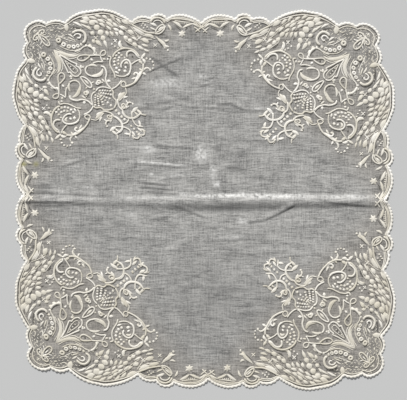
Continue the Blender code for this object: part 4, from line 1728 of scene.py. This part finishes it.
@dataclass(frozen=True)
class ThreadFinish:
    """Cream cotton thread, worked closely in cords, satin leaves and rings, with shade painted into the gaps
    between its stitches.
    """

    clean: Colour = (0.92, 0.89, 0.835, 1.0)
    aged: Colour = (0.575, 0.532, 0.432, 1.0)
    # The colour of the shade painted between stitches, and how much of it there is
    gap: Colour = (0.36, 0.33, 0.28, 1.0)
    gap_shade_depth: float = 0.35
    grain: float = 45.0
    unevenness: float = 1.1
    tone_span: float = 0.55
    least_tone: float = 0.32
    roughness: float = 0.72
    sheen: float = 0.25
    stitch_pitch: float = 0.00055
    stitch_depth: float = 0.0002
    bump: float = 0.5

    def material(self, groups: EffectGroups) -> bpy.types.Material:
        """The finish as a material.

        Args:
            groups: the shared effects.

        Returns:
            The material.
        """
        n = Surface("cotton_thread", groups)
        along = n.add("ShaderNodeUVMap", uv_map="stitches").outputs[0]
        inputs = {"Along": along, "Pitch": self.stitch_pitch, "Place": n.place}
        stitches = n.add("ShaderNodeGroup", inputs, node_tree=groups.stitches)
        whiteness = n.scaled(n.attribute("tone"), self.tone_span, self.least_tone)
        tone = n.cotton(self.clean, self.aged, self.grain, self.unevenness, whiteness)
        # Painted shade in the gaps between stitches
        deep = n.math("MULTIPLY", stitches.outputs["Gap Shade"], self.gap_shade_depth)
        return n.finished({
            "Base Color": n.mix(deep, tone, self.gap),
            "Roughness": self.roughness,
            "Sheen Weight": self.sheen,
            "Normal": n.relief(stitches.outputs["Height"], self.bump, self.stitch_depth),
        })


@dataclass(frozen=True)
class PlainFinish:
    """A dull surface in two close tones."""

    name: str
    light: Colour
    dark: Colour
    grain: float
    unevenness: float
    roughness: float

    def material(self, groups: EffectGroups) -> bpy.types.Material:
        """The finish as a material.

        Args:
            groups: the shared effects.

        Returns:
            The material.
        """
        n = Surface(self.name, groups)
        tone = n.cotton(self.light, self.dark, self.grain, self.unevenness)
        return n.finished({"Base Color": tone, "Roughness": self.roughness})


# Painted shade: a dark flat finish for the slits and eyelet holes where threads are drawn out of the cloth
HOLE_SHADE = PlainFinish(
    name="painted_hole_shade",
    light=(0.16, 0.15, 0.135, 1.0),
    dark=(0.06, 0.056, 0.05, 1.0),
    grain=500.0,
    unevenness=2.0,
    roughness=0.95,
)
PALE_FLOOR = PlainFinish(
    name="pale_floor",
    light=(0.50, 0.50, 0.495, 1.0),
    dark=(0.46, 0.46, 0.455, 1.0),
    grain=3.0,
    unevenness=0.8,
    roughness=0.9,
)


class Slubs(NamedTuple):
    """Slubs along a thread direction: the noise's scale on each axis, its bend and its share."""

    scale: tuple[float, float, float]
    bend: float
    share: float


SLUBS = (
    Slubs(scale=(70.0, 780.0, 1.0), bend=0.8, share=0.5),
    Slubs(scale=(900.0, 60.0, 1.0), bend=0.5, share=0.3),
    Slubs(scale=(34.0, 150.0, 1.0), bend=0.8, share=0.2),
    Slubs(scale=(520.0, 620.0, 1.0), bend=0.0, share=0.3),
)


@dataclass(frozen=True)
class LawnFinish:
    """Sheer grey-white lawn: a fine weave with slubs, whiter clouds, net and worked grounds, and highlights
    and shade painted along its fold and creases.
    """

    clean: Colour = (0.485, 0.475, 0.452, 1.0)
    # The darker colour serves thinner cloth and painted shade, and the whiter one clouds and painted
    # highlights
    thin_and_shade: Colour = (0.13, 0.128, 0.124, 1.0)
    cloud_and_highlight: Colour = (0.70, 0.69, 0.665, 1.0)
    worked: Colour = (0.45, 0.412, 0.36, 1.0)
    worked_gap: Colour = (0.15, 0.135, 0.115, 1.0)
    net: Colour = (0.11, 0.105, 0.095, 1.0)
    stain: Colour = (0.40, 0.38, 0.16, 1.0)
    tint: Colour = (0.84, 0.805, 0.765, 1.0)
    grain: float = 30.0
    unevenness: float = 0.7
    slub_middle: float = 0.65
    slub_gain: float = 3.5
    slub_level: float = 0.54
    cloud_scale: float = 330.0
    cloud_gain: float = 4.0
    cloud_level: float = -1.4
    mottle_scale: float = 420.0
    mottle_gain: float = 4.5
    mottle_level: float = 0.55
    # The shares of the darker colour in thinner places with their painted shade, and in the painted shade
    # below creases
    thinning_and_shade: float = 0.62
    shading: float = 0.9
    filling: float = 0.9
    net_scale: float = 220.0
    net_bend: float = 1.0
    net_cover: float = 0.75
    weave_scale: float = 700.0
    weave_bend: float = 0.6
    weave_depth: float = 0.25
    slub_depth: float = 1.6
    relief: float = 0.00025
    bump: float = 0.5
    roughness: float = 0.9
    sheen: float = 0.15
    cover: float = 0.94
    openness: float = 0.35

    @staticmethod
    def slubs(n: Surface) -> bpy.types.NodeSocket:
        """All slubs together: noises stretched along the threads, a little bent, added by their shares."""
        total: object = 0.0
        for row in SLUBS:
            stretched = n.add("ShaderNodeMapping", {"Vector": n.place, "Scale": row.scale})
            noise = n.noise(stretched.outputs[0], 1.0, 3.0, row.bend)
            total = n.scaled(noise, row.share, total)
        return total

    @staticmethod
    def crossed_bands(n: Surface, scale: float, bend: float) -> list[bpy.types.NodeSocket]:
        """Soft bands across x, and as many across y, as two sets of threads lie."""
        inputs = {"Vector": n.place, "Scale": scale, "Distortion": bend}
        waves = [n.add("ShaderNodeTexWave", inputs, bands_direction=axis) for axis in ("X", "Y")]
        return [wave.outputs["Fac"] for wave in waves]

    def plain_cloth(self, n: Surface, slubs: bpy.types.NodeSocket) -> bpy.types.NodeSocket:
        """The colour of the cloth where nothing is worked on it.

        Args:
            n: the material's nodes.
            slubs: the slubs of the weave.

        Returns:
            The colour: whiter in clouds and painted highlights, darker in thinner places and in shade
                painted on the fold's lower side and below creases, warmer in the border.
        """
        whiteness = n.spread(slubs, self.slub_middle, self.slub_gain, self.slub_level)
        colour = n.cotton(self.clean, self.thin_and_shade, self.grain, self.unevenness, whiteness)
        # Thinner places, and shade painted on the fold's lower side
        colour = n.mix(n.math("MULTIPLY", n.attribute("thin_and_shade"), self.thinning_and_shade), colour, self.thin_and_shade)
        # Whiter clouds, and highlights painted along the fold and creases
        patchy = n.scaled(n.noise(n.place, self.cloud_scale, 5.0), self.cloud_gain, self.cloud_level)
        colour = n.mix(n.math("MULTIPLY", n.attribute("cloud_and_highlight"), patchy, clamp=True), colour, self.cloud_and_highlight)
        colour = n.mix(n.attribute("warm"), colour, n.mix(1.0, colour, self.tint, "MULTIPLY"))
        # Shade painted below creases
        return n.mix(n.math("MULTIPLY", n.attribute("shade"), self.shading, clamp=True), colour, self.thin_and_shade)

    def material(self, groups: EffectGroups) -> bpy.types.Material:
        """The finish as a material.

        Args:
            groups: the shared effects.

        Returns:
            The material.
        """
        n = Surface("sheer_lawn", groups)
        slubs = self.slubs(n)
        colour = self.plain_cloth(n, slubs)
        speckle = n.noise(n.place, self.mottle_scale, 2.0)
        mottled = n.spread(speckle, 0.5, self.mottle_gain, self.mottle_level)
        filled = n.math("MULTIPLY", n.attribute("worked"), self.filling, clamp=True)
        colour = n.mix(filled, colour, n.mix(mottled, self.worked_gap, self.worked))
        lattice = n.math("MAXIMUM", *self.crossed_bands(n, self.net_scale, self.net_bend))
        between = n.math("SUBTRACT", 1.0, n.math("MULTIPLY", lattice, self.net_cover))
        holes = n.math("MULTIPLY", n.attribute("net"), between, clamp=True)
        colour = n.mix(holes, colour, self.net)
        weave = n.math("ADD", *self.crossed_bands(n, self.weave_scale, self.weave_bend))
        surface = n.scaled(slubs, self.slub_depth, n.math("MULTIPLY", weave, self.weave_depth))
        return n.finished({
            "Base Color": n.mix(n.attribute("stain"), colour, self.stain),
            "Roughness": self.roughness,
            "Sheen Weight": self.sheen,
            "Alpha": n.math("SUBTRACT", self.cover, n.math("MULTIPLY", holes, self.openness)),
            "Normal": n.relief(surface, self.bump, self.relief),
        })


# Floor, light and camera


@dataclass
class Studio:
    """The pale floor, the soft light from the top of the picture and the camera straight above."""

    floor_half: float = 3.0
    floor_drop: float = 0.0002
    sun_strength: float = 4.3
    sun_angle: float = 3.0
    sun_from: tuple[float, float, float] = (-0.28, 1.0, 0.72)
    sky: Colour = (0.97, 0.985, 1.0, 1.0)
    sky_strength: float = 0.40
    lens: float = 100.0
    sensor: float = 36.0
    aim: Point = (-0.45, -0.45)

    def lay_floor(self, finish: bpy.types.Material) -> bpy.types.Object:
        """The floor: one large flat quad just under the cloth."""
        h, z = self.floor_half / MM, -self.floor_drop / MM
        points = np.array(((-h, -h, z), (h, -h, z), (h, h, z), (-h, h, z)))
        skin = Skin(points, np.array(((0, 1, 2, 3),)), points[:, :2] * MM, np.zeros(4))
        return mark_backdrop(skin.to_object("floor", finish))

    def light(self) -> None:
        """A broad sun from the top of the picture, a little from the left, and an even pale sky."""
        lamp = bpy.data.lights.new("key", "SUN")
        lamp.energy = self.sun_strength
        lamp.angle = math.radians(self.sun_angle)
        key = bpy.data.objects.new("key", lamp)
        key.rotation_euler = Vector(self.sun_from).to_track_quat("Z", "Y").to_euler()
        bpy.context.scene.collection.objects.link(key)
        world = bpy.data.worlds.new("sky")
        world.use_nodes = True
        back = world.node_tree.nodes["Background"]
        back.inputs["Color"].default_value = self.sky
        back.inputs["Strength"].default_value = self.sky_strength
        bpy.context.scene.world = world

    def place_camera(self) -> None:
        """The camera looks straight down from where a pixel shows what it shows in the photograph."""
        data = bpy.data.cameras.new("camera")
        data.lens = self.lens
        data.sensor_width = self.sensor
        shown = PICTURE_WIDTH * MM_PER_PIXEL * MM
        camera = bpy.data.objects.new("camera", data)
        camera.location = (self.aim[0] * MM, self.aim[1] * MM, shown * self.lens / self.sensor)
        bpy.context.scene.collection.objects.link(camera)
        bpy.context.scene.camera = camera
        bpy.context.scene.view_settings.view_transform = "Standard"


def joined_to_frame(piece: bpy.types.Object) -> bpy.types.Object:
    """Rides a piece on the one body."""
    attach(piece, "root")
    return piece


def report(piece: bpy.types.Object) -> None:
    """Logs a piece's name and how many faces it has."""
    LOG.info("%s: %d faces", piece.name, len(piece.data.polygons))


def main() -> None:
    logging.basicConfig(level=logging.INFO, format="%(name)s %(message)s")
    studio = Studio()
    studio.place_camera()
    groups = EffectGroups()
    studio.lay_floor(PALE_FLOOR.material(groups))
    studio.light()

    cloth = ClothShape()
    lawn = Lawn(cloth)
    sheet = joined_to_frame(lawn.build(LawnFinish().material(groups)))
    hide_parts("cloth")
    report(sheet)

    thread = ThreadFinish().material(groups)
    edge = WorkedEdge(cloth, lawn.thickness, thread)
    needlework = Embroidery(cloth, lawn.thickness, thread)
    # The finish of painted shade for the edge's slit line and the slits and eyelet holes
    hole_shade_finish = HOLE_SHADE.material(groups)
    pieces = [edge.looped_cord(), edge.inner_cord(), edge.slit(hole_shade_finish)]
    pieces += [needlework.worked(motif) for motif in CORNER_MOTIFS + BORDER_MOTIFS]
    pieces.append(Embroidery(cloth, lawn.thickness, hole_shade_finish, SLIT_FLATNESS).worked(SLITS))
    for piece in pieces:
        report(joined_to_frame(piece))


if __name__ == "__main__":
    main()
